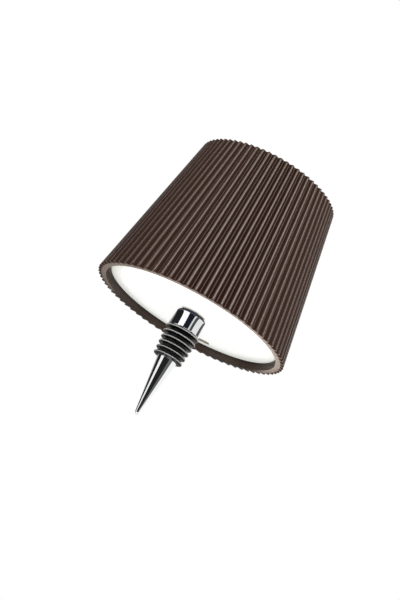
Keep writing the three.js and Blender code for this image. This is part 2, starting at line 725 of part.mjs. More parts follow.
onBoard("switch_header", header(), boardWhite, ...switchHeader);

// Leads inside the shade, each ending just clear of what it is soldered or crimped to
const leadStart = mainBoardTop + slipGap;
const archTop = leadStart + leadRise;
const headerTop = mainBoardTop + headerHeight + slipGap;
const overBoard = leadRadius * 2;
lead("led_lead", [
  [ledLeadPlace[0], mainBoardNear + overBoard, leadStart],
  [ledLeadPlace[0], mainBoardNear + overBoard, archTop],
  [ledLeadPlace[0], ledLeadPlace[1], archTop],
  [...ledLeadPlace, chassisTop],
  [...ledLeadPlace, chassisBottom + slipGap],
], leadRed);
const mainBoardFar = mainBoardNear + mainBoardWidth;
lead("charge_lead", [
  [chargeLeadPlace[0], mainBoardFar - overBoard, leadStart],
  [chargeLeadPlace[0], mainBoardFar - overBoard, archTop],
  [chargeLeadPlace[0], chargeLeadPlace[1], archTop],
  [...chargeLeadPlace, chassisTop],
  [...chargeLeadPlace, chassisBottom + slipGap],
], partBlack);
const batteryEnd = batteryLength / 2 + slipGap;
lead("battery_lead", [
  [batteryEnd, 0, batteryAxisZ],
  [batteryEnd + leadRise / 2, 0, batteryAxisZ],
  [batteryEnd + leadRise, leadRise, batteryAxisZ],
  [batteryEnd, mainBoardNear, batteryAxisZ],
  [...batteryHeader, headerTop + leadRise],
  [...batteryHeader, headerTop],
], leadRed);
const switchLeadPlace = [-postX / 2, switchBoardWidth / 2 - overBoard];
const switchLeadTop = switchBoardBottom - slipGap;
lead("switch_lead", [
  [...switchLeadPlace, switchLeadTop],
  [...switchLeadPlace, switchLeadTop - leadRise],
  [...switchHeader, (switchLeadTop + headerTop) / 2],
  [...switchHeader, headerTop + leadRise],
  [...switchHeader, headerTop],
], partBlack);

export default lamp;
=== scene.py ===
"""A cordless table lamp that plugs into a bottle's neck: its looks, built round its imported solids."""

import json
import math

import bmesh
import bpy
from bpy.props import FloatProperty, FloatVectorProperty, IntProperty, PointerProperty
from mathutils import Matrix, Vector


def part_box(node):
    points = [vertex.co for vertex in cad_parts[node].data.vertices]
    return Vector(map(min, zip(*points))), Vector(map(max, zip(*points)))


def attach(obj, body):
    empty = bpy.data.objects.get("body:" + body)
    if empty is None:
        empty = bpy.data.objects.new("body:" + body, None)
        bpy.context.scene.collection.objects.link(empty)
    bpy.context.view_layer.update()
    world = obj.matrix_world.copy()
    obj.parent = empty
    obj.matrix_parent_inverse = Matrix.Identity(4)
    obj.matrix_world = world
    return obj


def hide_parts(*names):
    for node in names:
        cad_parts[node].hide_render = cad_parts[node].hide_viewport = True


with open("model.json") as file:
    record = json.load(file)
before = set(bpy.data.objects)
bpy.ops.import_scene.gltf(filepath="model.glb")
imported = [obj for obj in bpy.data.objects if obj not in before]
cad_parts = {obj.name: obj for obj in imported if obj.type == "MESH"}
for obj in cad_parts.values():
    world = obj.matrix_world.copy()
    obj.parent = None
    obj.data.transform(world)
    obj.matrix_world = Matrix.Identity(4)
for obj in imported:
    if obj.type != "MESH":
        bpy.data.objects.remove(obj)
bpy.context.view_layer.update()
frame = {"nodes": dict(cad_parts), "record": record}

bl_info = {
    "name": "Bottle Table Lamp",
    "version": (1, 0, 0),
    "blender": (4, 5, 0),
    "location": "View3D > Sidebar > Lamp",
    "description": "Dresses a cordless lamp that plugs into a bottle's neck",
    "category": "Add Mesh",
}

# Corners nearer than this become one; the second is for places where copies of a shape meet
MERGE = 1e-7
LOOSE_MERGE = MERGE * 10
# How near to a circle or a level its corners lie
NEAR = 2e-5
SHARP_ANGLE = math.radians(34)
# Sides of wide, middling and small round pieces
WIDE_SIDES = 160
MIDDLE_SIDES = 128
SMALL_SIDES = 96
# How much of a half wave a rib's flank takes up
FLANK = 0.85
# From a round to the loop that keeps the face beside it flat
HOLD = 0.0002
# Patches per metre in a cloudy tone, an uneven gloss, a metal's streaks and a moulded grain
CLOUD_SCALE = 70.0
GLOSS_SCALE = 420.0
STREAK_SCALE = 900.0
GRAIN_SCALE = 2600.0
# Depth of a moulded grain
GRAIN_DEPTH = 0.000006

# Settings


def length(name, description, default):
    """A size in metres that a user would change."""
    return FloatProperty(
        name=name, description=description, default=default, min=0.0, precision=5, unit="LENGTH"
    )


def colour(name, description, default):
    """A colour in linear light that a user would change."""
    return FloatVectorProperty(
        name=name, description=description, default=default, size=3, min=0.0, max=1.0, subtype="COLOR"
    )


def amount(name, description, default):
    """A plain number that a user would change."""
    return FloatProperty(name=name, description=description, default=default, min=0.0)


def turn_angle(name, description, default):
    """An angle, given in degrees, that a user would change."""
    return FloatProperty(name=name, description=description, default=math.radians(default), subtype="ANGLE")


class LampShadeSettings(bpy.types.PropertyGroup):
    """Sizes and colours of the ribbed shade, its lid and its button."""

    rib_count: IntProperty(name="Ribs", description="Ridges round the shade", default=72, min=3)
    rib_depth: length("Rib Depth", "From ridge to valley, at the rim", 0.002)
    ridge_flat: amount("Ridge Flat", "Half of a ridge's flat top, as a share of the pitch", 0.03)
    valley_flat: amount("Valley Flat", "Half of a valley's flat floor, as a share of the pitch", 0.035)
    crown_radius: length("Crown Radius", "Over the ridges, at the top", 0.0401)
    wall: length("Wall", "Behind the valleys", 0.00155)
    rim_flat: length("Rim Flat", "Width of the rim's flat face inside the valleys", 0.00275)
    bore_top: length("Bore Top", "Height at which the bore ends", 0.025)
    ledge_top: length("Ledge Top", "Height of the ledge under the lid", 0.0924)
    ledge_thickness: length("Ledge Thickness", "Of the ledge under the lid", 0.002)
    ledge_width: length("Ledge Width", "Of the ledge under the lid", 0.0065)
    edge_round: length("Edge Round", "Round of the ribs' cut ends", 0.00022)
    boss_count: IntProperty(name="Bosses", description="Screw bosses in the shade", default=3, min=1)
    boss_circle: length("Boss Circle", "Radius on which the screw bosses stand", 0.044328)
    boss_radius: length("Boss Radius", "Of each screw boss", 0.0032)
    boss_height: length("Boss Height", "Of each screw boss", 0.008)
    screw_hole: length("Screw Hole", "Radius of the holes in bosses and posts", 0.0013)
    # The darker band is painted shade, in the corner under the diffuser
    corner_shade_height: length("Corner Height", "Of the darker band on the wall below the diffuser", 0.0018)
    lid_round: length("Lid Round", "Round of the lid's edges", 0.0005)
    post_radius: length("Post Radius", "Of the posts under the lid", 0.0024)
    button_radius: length("Button Radius", "Of the part that shows", 0.007)
    button_gap: length("Button Gap", "Round and under the button", 0.0003)
    button_round: length("Button Round", "Round of the button's edge", 0.0004)
    button_flange: length("Button Flange", "Thickness of the flange under the lid", 0.0012)
    button_stem: length("Button Stem", "Radius of the stem under the flange", 0.0024)
    button_dish: length("Button Dish", "Depth of the hollow in the button's top", 0.0004)
    dish_share: amount("Dish Share", "Of the button's radius that the hollow takes up", 0.86)
    # The light brown is also painted along the shade's ridges as a highlight, and a darker copy of the dark
    # brown in its grooves as shade
    brown_dark: colour("Dark Brown", "Darker tone of the moulded shade", (0.03, 0.011, 0.007))
    brown_light: colour("Light Brown", "Lighter tone of the moulded shade", (0.04, 0.02, 0.014))
    # A lighter, greyer copy of the brown, painted on the rim's face and the wall inside it for the light
    # they catch
    lit_rim_brown: colour("Inner Brown", "Tone of the rim and of the wall inside it", (0.058, 0.041, 0.033))
    shine: colour("Shine", "Tint of what the shade reflects", (1.0, 0.66, 0.5))
    rib_reflection: amount("Rib Reflection", "How much the ribs reflect, where 0.5 is usual", 0.28)
    lid_reflection: amount("Lid Reflection", "How much the lid reflects, where 0.5 is usual", 0.25)
    coat_roughness: amount("Coat Roughness", "Of the gloss on ridges and in valleys", 0.2)


class LampLightSettings(bpy.types.PropertyGroup):
    """Sizes and colours of the diffuser and the charging port in it."""

    edge_round: length("Edge Round", "Round of the diffuser's lower edge", 0.0012)
    thickness: length("Thickness", "Of the diffuser's face", 0.002)
    skirt: length("Skirt", "Thickness of the diffuser's side wall", 0.0018)
    skirt_radius: length("Skirt Radius", "Inside the diffuser's side wall", 0.046678)
    hole_radius: length("Hole Radius", "Of the hole round the screw socket", 0.0071)
    slot_gap: length("Slot Gap", "Round the port's cover", 0.0003)
    cover_corner: length("Cover Corner", "Corner radius of the port's cover", 0.0015)
    cover_round: length("Cover Round", "Round of the cover's edges", 0.0003)
    port_wall: length("Port Wall", "Thickness of the receptacle's shell", 0.00035)
    port_floor: length("Port Floor", "Thickness of the receptacle's floor", 0.0012)
    tongue_length: length("Tongue Length", "Across the receptacle", 0.0066)
    tongue_thickness: length("Tongue Thickness", "Of the receptacle's tongue", 0.0007)
    tongue_depth: length("Tongue Depth", "Of the tongue above the floor", 0.0044)
    tongue_round: length("Tongue Round", "Round of the tongue's edges", 0.0001)
    opal: colour("Opal", "Tone of the diffuser", (0.86, 0.865, 0.85))
    # The darker edge tone is painted shade, where the diffuser meets the wall
    opal_edge_shade: colour("Opal Edge", "Tone of the diffuser at its edge", (0.5, 0.515, 0.49))
    glow: amount("Glow", "How much the diffuser shines by itself", 0.66)
    reflection: amount("Reflection", "How much the diffuser reflects, where 0.5 is usual", 0.25)


class LampStopperSettings(bpy.types.PropertyGroup):
    """Sizes and colours of the collar, the finned sleeve, the spike and the stud."""

    collar_bore: length("Collar Bore", "Radius of the collar's bore", 0.0043)
    collar_round: length("Collar Round", "Round of the collar's upper edge", 0.0025)
    collar_taper: length("Collar Taper", "How much smaller the collar's radius is at its top", 0.0006)
    fin_count: IntProperty(name="Fins", description="Rings on the sleeve", default=6, min=2)
    fin_pitch: length("Fin Pitch", "From one fin to the next", 0.00305)
    fin_root: length("Fin Root", "Thickness of a fin at its root", 0.0015)
    fin_edge: length("Fin Edge", "Thickness of a fin at its edge", 0.001)
    low_fin_radius: length("Low Fin Radius", "Of the lowest fin", 0.0082)
    sleeve_radius: length("Sleeve Radius", "At the bottom of the grooves", 0.007)
    sleeve_bore: length("Sleeve Bore", "Radius of the sleeve's bore", 0.0048)
    spike_base: length("Spike Base", "Radius of the spike under the sleeve", 0.0055)
    spike_tip: length("Spike Tip", "Radius of the spike's tip", 0.0012)
    spindle_radius: length("Spindle Radius", "Inside the sleeve", 0.0045)
    neck_radius: length("Neck Radius", "Of the spindle inside the collar", 0.004)
    edge_round: length("Edge Round", "Round of small edges", 0.0003)
    washer_round: length("Washer Round", "Round of the washer's edges", 0.0002)
    thread_pitch: length("Thread Pitch", "Rise of the thread in one turn", 0.00125)
    thread_depth: length("Thread Depth", "From crest to root", 0.00065)
    silicone_dark: colour("Dark Silicone", "Darker tone of the sleeve", (0.0035, 0.0036, 0.0041))
    silicone_light: colour("Light Silicone", "Lighter tone of the sleeve", (0.0065, 0.0067, 0.0075))
    # Painted highlight: a pale line along each fin's edge stands in for the light that the edge reflects
    fin_highlight: colour("Highlight", "Tone of the line painted along each fin's edge", (0.8, 0.8, 0.78))
    fin_highlight_drop: length("Rub Drop", "From the middle of a fin's edge down to its line", 0.0001)
    fin_highlight_width: length("Rub Width", "Half the height of the line on a fin's edge", 0.00028)
    reflection: amount("Reflection", "How much the sleeve reflects, where 0.5 is usual", 0.2)
    chrome: colour("Chrome", "Tone of the plated metal", (0.9, 0.905, 0.91))


class LampStageSettings(bpy.types.PropertyGroup):
    """Camera, floor and lights."""

    azimuth: turn_angle("Azimuth", "Of the camera round the lamp", 15)
    elevation: turn_angle("Elevation", "Of the camera above the horizon", -15.644)
    roll: turn_angle("Roll", "Of the camera about its own axis", 29.71)
    distance: length("Distance", "From the camera to the point it looks at", 0.6277)
    aim_height: length("Aim Height", "Of the point that the camera looks at", 0.02113)
    aim_shift: FloatProperty(
        name="Aim Shift",
        description="Sideways from the lamp's axis",
        default=-0.00045,
        precision=5,
        unit="LENGTH",
    )
    lens: amount("Lens", "Focal length on a 36 mm film, in millimetres", 71.76)
    near_clip: length("Near Clip", "Distance at which the camera starts to see", 0.01)
    floor_depth: length("Floor Depth", "Below the bottle's mouth", 0.4)
    floor_radius: length("Floor Radius", "Of the round floor", 3.0)
    floor_gap: length("Floor Gap", "From the floor up to the cards on it", 0.001)
    floor_dim: amount("Floor Dim", "How much less than white the floor shows under the lamp", 0.68)
    ambient: amount("Ambient", "Strength of the light from all round, where 1 is white", 0.2)
    soft_light: amount("Soft Light", "Brightness of the front light, where 1 is white", 5.2)
    light_distance: length("Light Distance", "From the lamp to the soft lights", 1.1)
    ring_height: length("Ring Height", "Of the cards under the diffuser", 0.0124)
    rim_card_height: length("Rim Card Height", "Of the cards under the rim", 0.003)
    card_distance: length("Card Distance", "From the lamp to the upright cards", 1.5)


# Shapes


def spin(bm, parts, angle, steps, rise=0.0, merge=False, copies=False):
    """Spin parts round the lamp's axis, with a rise at each step."""
    bmesh.ops.spin(
        bm,
        geom=parts,
        cent=(0.0, 0.0, 0.0),
        axis=(0.0, 0.0, 1.0),
        dvec=(0.0, 0.0, rise),
        angle=angle,
        steps=steps,
        use_merge=merge,
        use_normal_flip=False,
        use_duplicate=copies,
    )


def only(parts, kind):
    """The parts of one kind."""
    return [part for part in parts if isinstance(part, kind)]


def weld(bm, near):
    """Make corners that are nearer than a distance one."""
    bmesh.ops.remove_doubles(bm, verts=bm.verts[:], dist=near)


def face_out(bm):
    """Point every face outwards."""
    bmesh.ops.recalc_face_normals(bm, faces=bm.faces[:])


def draw_line(bm, spots, closed=False):
    """Join spots with edges, and give the corners and the edges."""
    corners = [bm.verts.new(spot) for spot in spots]
    ends = corners[1:] + corners[:1] if closed else corners[1:]
    return corners + [bm.edges.new(pair) for pair in zip(corners, ends)]


def turn(bm, points, sides, closed=False):
    """Spin a line of (radius, height) points round the lamp's axis into a skin."""
    line = draw_line(bm, [(radius, 0.0, height) for radius, height in points], closed)
    spin(bm, line, math.tau, sides, merge=True)
    weld(bm, MERGE)
    face_out(bm)


def ring_edges(bm, radius, height):
    """The edges of the circle at a radius and height."""
    found = []
    for edge in bm.edges:
        spots = [corner.co for corner in edge.verts]
        level = all(abs(spot.z - height) < NEAR for spot in spots)
        if level and all(abs(spot.xy.length - radius) < NEAR for spot in spots):
            found.append(edge)
    if not found:
        raise RuntimeError(f"no circle at radius {radius} and height {height}")
    return found


def soften(bm, parts, size, segments, affect="EDGES"):
    """Round edges or corners off."""
    bmesh.ops.bevel(
        bm,
        geom=parts,
        offset=size,
        offset_type="OFFSET",
        segments=segments,
        profile=0.5,
        affect=affect,
        clamp_overlap=True,
        material=-1,
    )


def carry(bm, loop, scale=1.0, lift=0.0):
    """Extrude a loop of edges, scale the copy about the axis and lift it."""
    made = bmesh.ops.extrude_edge_only(bm, edges=loop)
    corners = only(made["geom"], bmesh.types.BMVert)
    bmesh.ops.scale(bm, vec=(scale, scale, 1.0), verts=corners)
    bmesh.ops.translate(bm, vec=(0.0, 0.0, lift), verts=corners)
    kept = set(corners)
    edges = {edge for corner in corners for edge in corner.link_edges if edge.other_vert(corner) in kept}
    return corners, list(edges)


def carry_round(bm, loop, radius, height):
    """Extrude a loop of edges onto the circle at a radius and height."""
    corners, edges = carry(bm, loop)
    for corner in corners:
        corner.co.xy = corner.co.xy.normalized() * radius
        corner.co.z = height
    return edges


def quarter(start, end, steps, level_first):
    """Points of an elliptical quarter turn between two (radius, height) points, the first left out."""
    points = []
    for step in range(1, steps + 1):
        angle = math.pi / 2 * step / steps
        rise, run = 1 - math.cos(angle), math.sin(angle)
        first, second = (run, rise) if level_first else (rise, run)
        points.append((start[0] + (end[0] - start[0]) * first, start[1] + (end[1] - start[1]) * second))
    return points


def rib_drop(share, ridge, valley):
    """How far a rib's outline has dropped, from 0 to 1, at a share of the pitch from the ridge's middle."""
    along = min(max((share - ridge) / (0.5 - ridge - valley), 0.0), 1.0)
    return (1 - math.cos(math.pi * FLANK * along)) / (1 - math.cos(math.pi * FLANK))


def rounded_panel(bm, width, depth, corner, middle, steps=6):
    """A flat panel with round corners, and its face."""
    before = set(bm.faces)
    place = Matrix.Translation(middle) @ Matrix.Diagonal((width, depth, 1.0, 1.0))
    made = bmesh.ops.create_grid(bm, x_segments=1, y_segments=1, size=0.5, matrix=place)
    soften(bm, made["verts"], corner, steps, "VERTICES")
    faces = [face for face in bm.faces if face not in before]
    if len(faces) != 1:
        raise RuntimeError("a rounded panel needs one face")
    return faces[0]


def thicken(bm, face, height):
    """Draw a face up into a slab."""
    made = bmesh.ops.extrude_face_region(bm, geom=[face])
    corners = only(made["geom"], bmesh.types.BMVert)
    bmesh.ops.translate(bm, vec=(0.0, 0.0, height), verts=corners)


def post(bm, place, inner, outer, bottom, top, sides=24):
    """A round post with a hole up its middle."""
    apart = bmesh.new()
    turn(apart, [(inner, bottom), (outer, bottom), (outer, top), (inner, top)], sides, closed=True)
    bmesh.ops.translate(apart, vec=(place[0], place[1], 0.0), verts=apart.verts[:])
    add(bm, apart)


def add(bm, other):
    """Put another bmesh's shape into this one."""
    mesh = bpy.data.meshes.new("loose")
    other.to_mesh(mesh)
    other.free()
    bm.from_mesh(mesh)
    bpy.data.meshes.remove(mesh)


def make_object(bm, name, material):
    """Turn a bmesh into an object with a material."""
    mesh = bpy.data.meshes.new(name)
    bm.to_mesh(mesh)
    bm.free()
    mesh.materials.append(material)
    made = bpy.data.objects.new(name, mesh)
    bpy.context.scene.collection.objects.link(made)
    return made


def make_piece(bm, name, body, slot, *nodes, finish=None):
    """Turn a bmesh into a named piece that rides on a body and stands for its solids."""
    piece = make_object(bm, name, FINISHES[finish or slot])
    piece.data.shade_smooth()
    piece.data.set_sharp_from_angle(angle=SHARP_ANGLE)
    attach(piece, body)
    if nodes:
        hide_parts(*nodes)


def round_box(node):
    """Radius, bottom and top of a solid that is round about the lamp's axis."""
    low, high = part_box(node)
    return max(high.x, high.y), low.z, high.z


def flat_box(node):
    """Width and depth of a solid, the middle of its lower face, and its top."""
    low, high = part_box(node)
    middle = Vector(((low.x + high.x) / 2, (low.y + high.y) / 2, low.z))
    return high.x - low.x, high.y - low.y, middle, high.z


# Finishes


class Nodes:
    """A node tree and the steps that build it up."""

    def __init__(self, tree):
        self.tree = tree

    def node(self, kind, **values):
        """A new node with some of its inputs set."""
        made = self.tree.nodes.new(kind)
        for name, value in values.items():
            made.inputs[name.replace("_", " ").title()].default_value = value
        return made

    def link(self, source, target):
        """Link an output to an input."""
        self.tree.links.new(source, target)

    def reckon(self, operation, *values):
        """A number worked out from numbers or sockets."""
        made = self.node("ShaderNodeMath")
        made.operation = operation
        for socket, value in zip(made.inputs, values):
            if isinstance(value, bpy.types.NodeSocket):
                self.link(value, socket)
            else:
                socket.default_value = value
        return made.outputs["Value"]


class Finish(Nodes):
    """A material with the nodes that these finishes share."""

    def __init__(self, name):
        self.material = bpy.data.materials.new(name)
        self.material.use_nodes = True
        super().__init__(self.material.node_tree)
        self.shader = self.tree.nodes["Principled BSDF"]
        self.place = self.node("ShaderNodeTexCoord").outputs["Object"]

    def set(self, **values):
        """Set inputs of the shader."""
        for name, value in values.items():
            self.shader.inputs[name].default_value = value

    def parts(self):
        """X, Y and Z of the object coordinates."""
        split = self.node("ShaderNodeSeparateXYZ")
        self.link(self.place, split.inputs["Vector"])
        return split.outputs

    def one_sided(self):
        """Show only the side that the faces point to."""
        behind = self.node("ShaderNodeNewGeometry").outputs["Backfacing"]
        self.link(self.reckon("SUBTRACT", 1.0, behind), self.shader.inputs["Alpha"])

    def stretched(self, x, y, z):
        """Object coordinates scaled along each axis."""
        mapping = self.node("ShaderNodeMapping", scale=(x, y, z))
        self.link(self.place, mapping.inputs["Vector"])
        return mapping.outputs["Vector"]

    def noise(self, scale, detail, place=None):
        """Cloudy values from 0 to 1."""
        made = self.node("ShaderNodeTexNoise", scale=scale, detail=detail)
        self.link(place or self.place, made.inputs["Vector"])
        return made.outputs["Fac"]

    def tones(self, value, dark, light, low=0.35, high=0.65):
        """A base colour that runs between two tones."""
        self.steps(value, ((low, dark), (high, light)), "Base Color")

    def gloss(self, value, smooth, rough, low=0.3, high=0.7):
        """A roughness that runs between two values."""
        spread = self.node("ShaderNodeMapRange", from_min=low, from_max=high, to_min=smooth, to_max=rough)
        self.link(value, spread.inputs["Value"])
        self.link(spread.outputs["Result"], self.shader.inputs["Roughness"])

    def cone_gap(self, low, high):
        """Share of the radius by which a point lies inside a cone, given by two (radius, height) points."""
        x, y, z = self.parts()
        square = self.reckon("ADD", self.reckon("MULTIPLY", x, x), self.reckon("MULTIPLY", y, y))
        reach = self.reckon("SQRT", square)
        slope = (high[0] - low[0]) / (high[1] - low[1])
        edge = self.reckon("ADD", self.reckon("MULTIPLY", z, slope), low[0] - slope * low[1])
        return self.reckon("SUBTRACT", 1.0, self.reckon("DIVIDE", reach, edge))

    def steps(self, value, stops, socket):
        """Run a shader input through (position, tone) stops, where a tone is a number or a colour."""
        ramp = self.node("ShaderNodeValToRGB")
        marks = ramp.color_ramp.elements
        while len(marks) < len(stops):
            marks.new(1.0)
        for mark, (position, tone) in zip(marks, stops):
            mark.position = position
            mark.color = (tone, tone, tone, 1.0) if isinstance(tone, float) else (*tone, 1.0)
        self.link(value, ramp.inputs["Fac"])
        self.link(ramp.outputs["Color"], self.shader.inputs[socket])

    def grain(self, value, depth):
        """Fine bumps of a depth in metres."""
        bump = self.node("ShaderNodeBump", strength=1.0, distance=depth)
        self.link(value, bump.inputs["Height"])
        self.link(bump.outputs["Normal"], self.shader.inputs["Normal"])


def textured(name, smooth, rough, scale=GRAIN_SCALE, depth=GRAIN_DEPTH):
    """Plastic or rubber that has no tone yet: uneven gloss and a fine grain."""
    finish = Finish(name)
    finish.gloss(finish.noise(GLOSS_SCALE, 2.0), smooth, rough)
    finish.grain(finish.noise(scale, 2.0), depth)
    return finish


def moulded(name, dark, light, smooth, rough, scale=GRAIN_SCALE, depth=GRAIN_DEPTH):
    """Moulded plastic or rubber: cloudy tone, uneven gloss and a fine grain."""
    finish = textured(name, smooth, rough, scale, depth)
    finish.tones(finish.noise(CLOUD_SCALE, 3.0), dark, light)
    return finish


def metal(name, dark, light, smooth, rough, lines=(1.0, 1.0, 1.0)):
    """Bare or plated metal: faint streaks in its tone and its gloss."""
    finish = Finish(name)
    streaks = finish.noise(STREAK_SCALE, 3.0, finish.stretched(*lines))
    finish.set(Metallic=1.0)
    finish.tones(streaks, dark, light)
    finish.gloss(streaks, smooth, rough)
    return finish


def ribbed(shade):
    """The shade's brown: ridges and valleys shine and flanks are dull; painted highlight on the ridges,
    painted shade in the grooves and in the corner by the diffuser.
    """
    finish = Finish("ribbed_brown")
    rim_radius, rim, crown = round_box("shade")
    gap = finish.cone_gap((rim_radius, rim), (shade.crown_radius, crown))
    # The drop is 0 on a ridge, 0.5 in a valley, and more on the rim's face and the wall inside it
    drop = finish.reckon("MULTIPLY", gap, rim_radius / shade.rib_depth / 2)
    cloud_scale, cloud_depth = 90.0, 0.06
    cloud = finish.reckon("MULTIPLY", finish.noise(cloud_scale, 3.0), cloud_depth)
    # Painted highlight and shade: the ridges take the lighter brown, a little of it reaches the valley
    # floors, and the grooves take a darker copy of the brown
    groove_shade = shaded(shade.brown_dark, 0.7)
    # Painted light: the rim's face and the wall inside it take a lighter copy of the brown
    inner = shade.lit_rim_brown
    tones = (
        (0.0, shade.brown_light),
        (0.14, shade.brown_dark),
        (0.2, groove_shade),
        (0.48, groove_shade),
        (0.56, inner),
        (0.7, inner),
        (1.0, shaded(inner, 0.3)),
    )
    # Painted shade: the wall grows darker towards the corner under the diffuser
    wall_drop, wall_tone, corner_shade = 0.9, 0.68, 0.3
    on_wall = finish.reckon("GREATER_THAN", drop, wall_drop)
    above = finish.reckon("SUBTRACT", finish.parts()["Z"], rim + shade.corner_shade_height)
    corner = finish.reckon("DIVIDE", above, shade.corner_shade_height)
    corner = finish.reckon("MINIMUM", finish.reckon("MAXIMUM", corner, 0.0), 1.0)
    tone = finish.reckon("MINIMUM", drop, wall_tone)
    tone = finish.reckon("ADD", tone, finish.reckon("SUBTRACT", cloud, cloud_depth / 2))
    darker = finish.reckon("MULTIPLY", finish.reckon("MULTIPLY", on_wall, corner_shade), corner)
    finish.steps(finish.reckon("ADD", tone, darker), tones, "Base Color")
    gloss = ((0.0, 0.18), (0.06, 0.2), (0.13, 0.6), (0.45, 0.65), (0.49, 0.22), (0.53, 0.45))
    finish.steps(drop, gloss, "Roughness")
    finish.grain(finish.noise(GRAIN_SCALE, 2.0), GRAIN_DEPTH)
    coat = ((0.0, 0.7), (0.035, 0.65), (0.08, 0.0), (0.47, 0.0), (0.5, 0.2))
    finish.steps(drop, coat, "Coat Weight")
    finish.set(**{"Coat Roughness": shade.coat_roughness, "Specular IOR Level": shade.rib_reflection})
    finish.set(**{"Specular Tint": (*shade.shine, 1.0)})
    return finish


def glowing(light):
    """The diffuser's opal, which shines by itself, with painted shade greying its tone and its glow towards
    the edge.
    """
    finish = textured("opal", 0.3, 0.36, scale=1800.0, depth=0.000002)
    edge = round_box("diffuser")[0]
    gap = finish.cone_gap((edge, 0.0), (edge, 1.0))
    cloud_scale, cloud_depth = 60.0, 0.05
    cloud = finish.reckon("MULTIPLY", finish.noise(cloud_scale, 3.0), cloud_depth)
    # Painted shade: the tone greys towards the edge, by the wall
    tones = ((0.03, light.opal_edge_shade), (0.18, light.opal))
    finish.steps(finish.reckon("ADD", gap, cloud), tones, "Base Color")
    # Painted shade: the glow dims towards the edge as well
    glow = (
        (0.0, (0.47, 0.48, 0.45)),
        (0.02, (0.6, 0.62, 0.58)),
        (0.073, (0.7, 0.72, 0.685)),
        (0.17, (0.95, 0.96, 0.95)),
        (0.3, 1.0),
    )
    finish.steps(gap, glow, "Emission Color")
    finish.set(**{"Emission Strength": light.glow, "Specular IOR Level": light.reflection})
    return finish


def finned(stopper):
    """The sleeve's black, with a painted highlight along the edge of each fin."""
    finish = textured("black_silicone", 0.3, 0.38)
    radius, _, top = round_box("stopper_sleeve")
    middle = top - stopper.fin_root / 2
    reach = stopper.fin_pitch * (stopper.fin_count - 1)
    gap = finish.cone_gap((stopper.low_fin_radius, middle - reach), (radius, middle))
    below = finish.reckon("SUBTRACT", middle - stopper.fin_highlight_drop, finish.parts()["Z"])
    phase = finish.reckon("PINGPONG", finish.reckon("DIVIDE", below, stopper.fin_pitch), 0.5)
    inward_fade, edge_fade = 1.5, 0.4
    spread = finish.reckon("ADD", phase, finish.reckon("MULTIPLY", gap, inward_fade))
    width = stopper.fin_highlight_width / stopper.fin_pitch
    # Painted highlight along each fin's edge, fading into the black
    tones = (
        (0.0, stopper.fin_highlight),
        (width * (1 - edge_fade), stopper.fin_highlight),
        (width * (1 + edge_fade), stopper.silicone_light),
        (1.0, stopper.silicone_dark),
    )
    finish.steps(spread, tones, "Base Color")
    finish.set(**{"Specular IOR Level": stopper.reflection})
    return finish


def shaded(tone, share):
    """A tone made darker or lighter by a share."""
    return tuple(min(1.0, part * share) for part in tone)


FINISHES = {}

# Dark and light tone, least and most roughness of each moulded finish; the board has its own grain too
MOULDED = {
    "green_board": ((0.008, 0.055, 0.025), (0.014, 0.095, 0.042), 0.3, 0.45, 700.0, 0.00003),
    "white_silicone": ((0.6, 0.5, 0.41), (0.66, 0.56, 0.47), 0.42, 0.55),
    "nylon": ((0.7, 0.67, 0.58), (0.78, 0.75, 0.67), 0.4, 0.5),
    "grey_rubber": ((0.07, 0.075, 0.08), (0.1, 0.105, 0.11), 0.55, 0.7),
    "black_plastic": ((0.009, 0.009, 0.01), (0.014, 0.014, 0.016), 0.4, 0.55),
    "white_plastic": ((0.78, 0.78, 0.76), (0.85, 0.85, 0.83), 0.4, 0.5),
    "led": ((0.72, 0.5, 0.08), (0.86, 0.66, 0.16), 0.2, 0.3),
    "battery_wrap": ((0.02, 0.085, 0.24), (0.028, 0.11, 0.29), 0.2, 0.3),
    "red_lead": ((0.24, 0.014, 0.011), (0.3, 0.02, 0.016), 0.35, 0.5),
    "black_lead": ((0.006, 0.006, 0.007), (0.011, 0.011, 0.012), 0.35, 0.5),
    "white_board": ((0.74, 0.76, 0.74), (0.82, 0.84, 0.82), 0.3, 0.42),
}

# The same of each metal, and how its streaks are drawn out along X, Y and Z
METALS = {
    "steel": ((0.36, 0.37, 0.39), (0.52, 0.53, 0.55), 0.25, 0.4, (1.0, 1.0, 0.08)),
    "brass": ((0.46, 0.28, 0.08), (0.6, 0.39, 0.13), 0.22, 0.36, (1.0, 1.0, 0.1)),
    "bare_aluminium": ((0.5, 0.51, 0.52), (0.64, 0.65, 0.66), 0.3, 0.45),
}


def make_finishes(scene):
    """Make the finish of every slot, and the ribbed one."""
    shade, light, stopper = scene.lamp_shade, scene.lamp_light, scene.lamp_stopper
    brown = moulded("satin_brown", shade.brown_dark, shade.brown_light, 0.3, 0.36, depth=GRAIN_DEPTH / 2)
    brown.set(**{"Specular IOR Level": shade.lid_reflection, "Specular Tint": (*shade.shine, 1.0)})
    made = {
        "shade_brown": brown,
        "ribbed_brown": ribbed(shade),
        "opal": glowing(light),
        "black_silicone": finned(stopper),
        "chrome": metal("chrome", shaded(stopper.chrome, 0.97), stopper.chrome, 0.02, 0.04),
    }
    made.update({slot: moulded(slot, *values) for slot, values in MOULDED.items()})
    made.update({slot: metal(slot, *values) for slot, values in METALS.items()})
    FINISHES.update({slot: finish.material for slot, finish in made.items()})


# Pieces


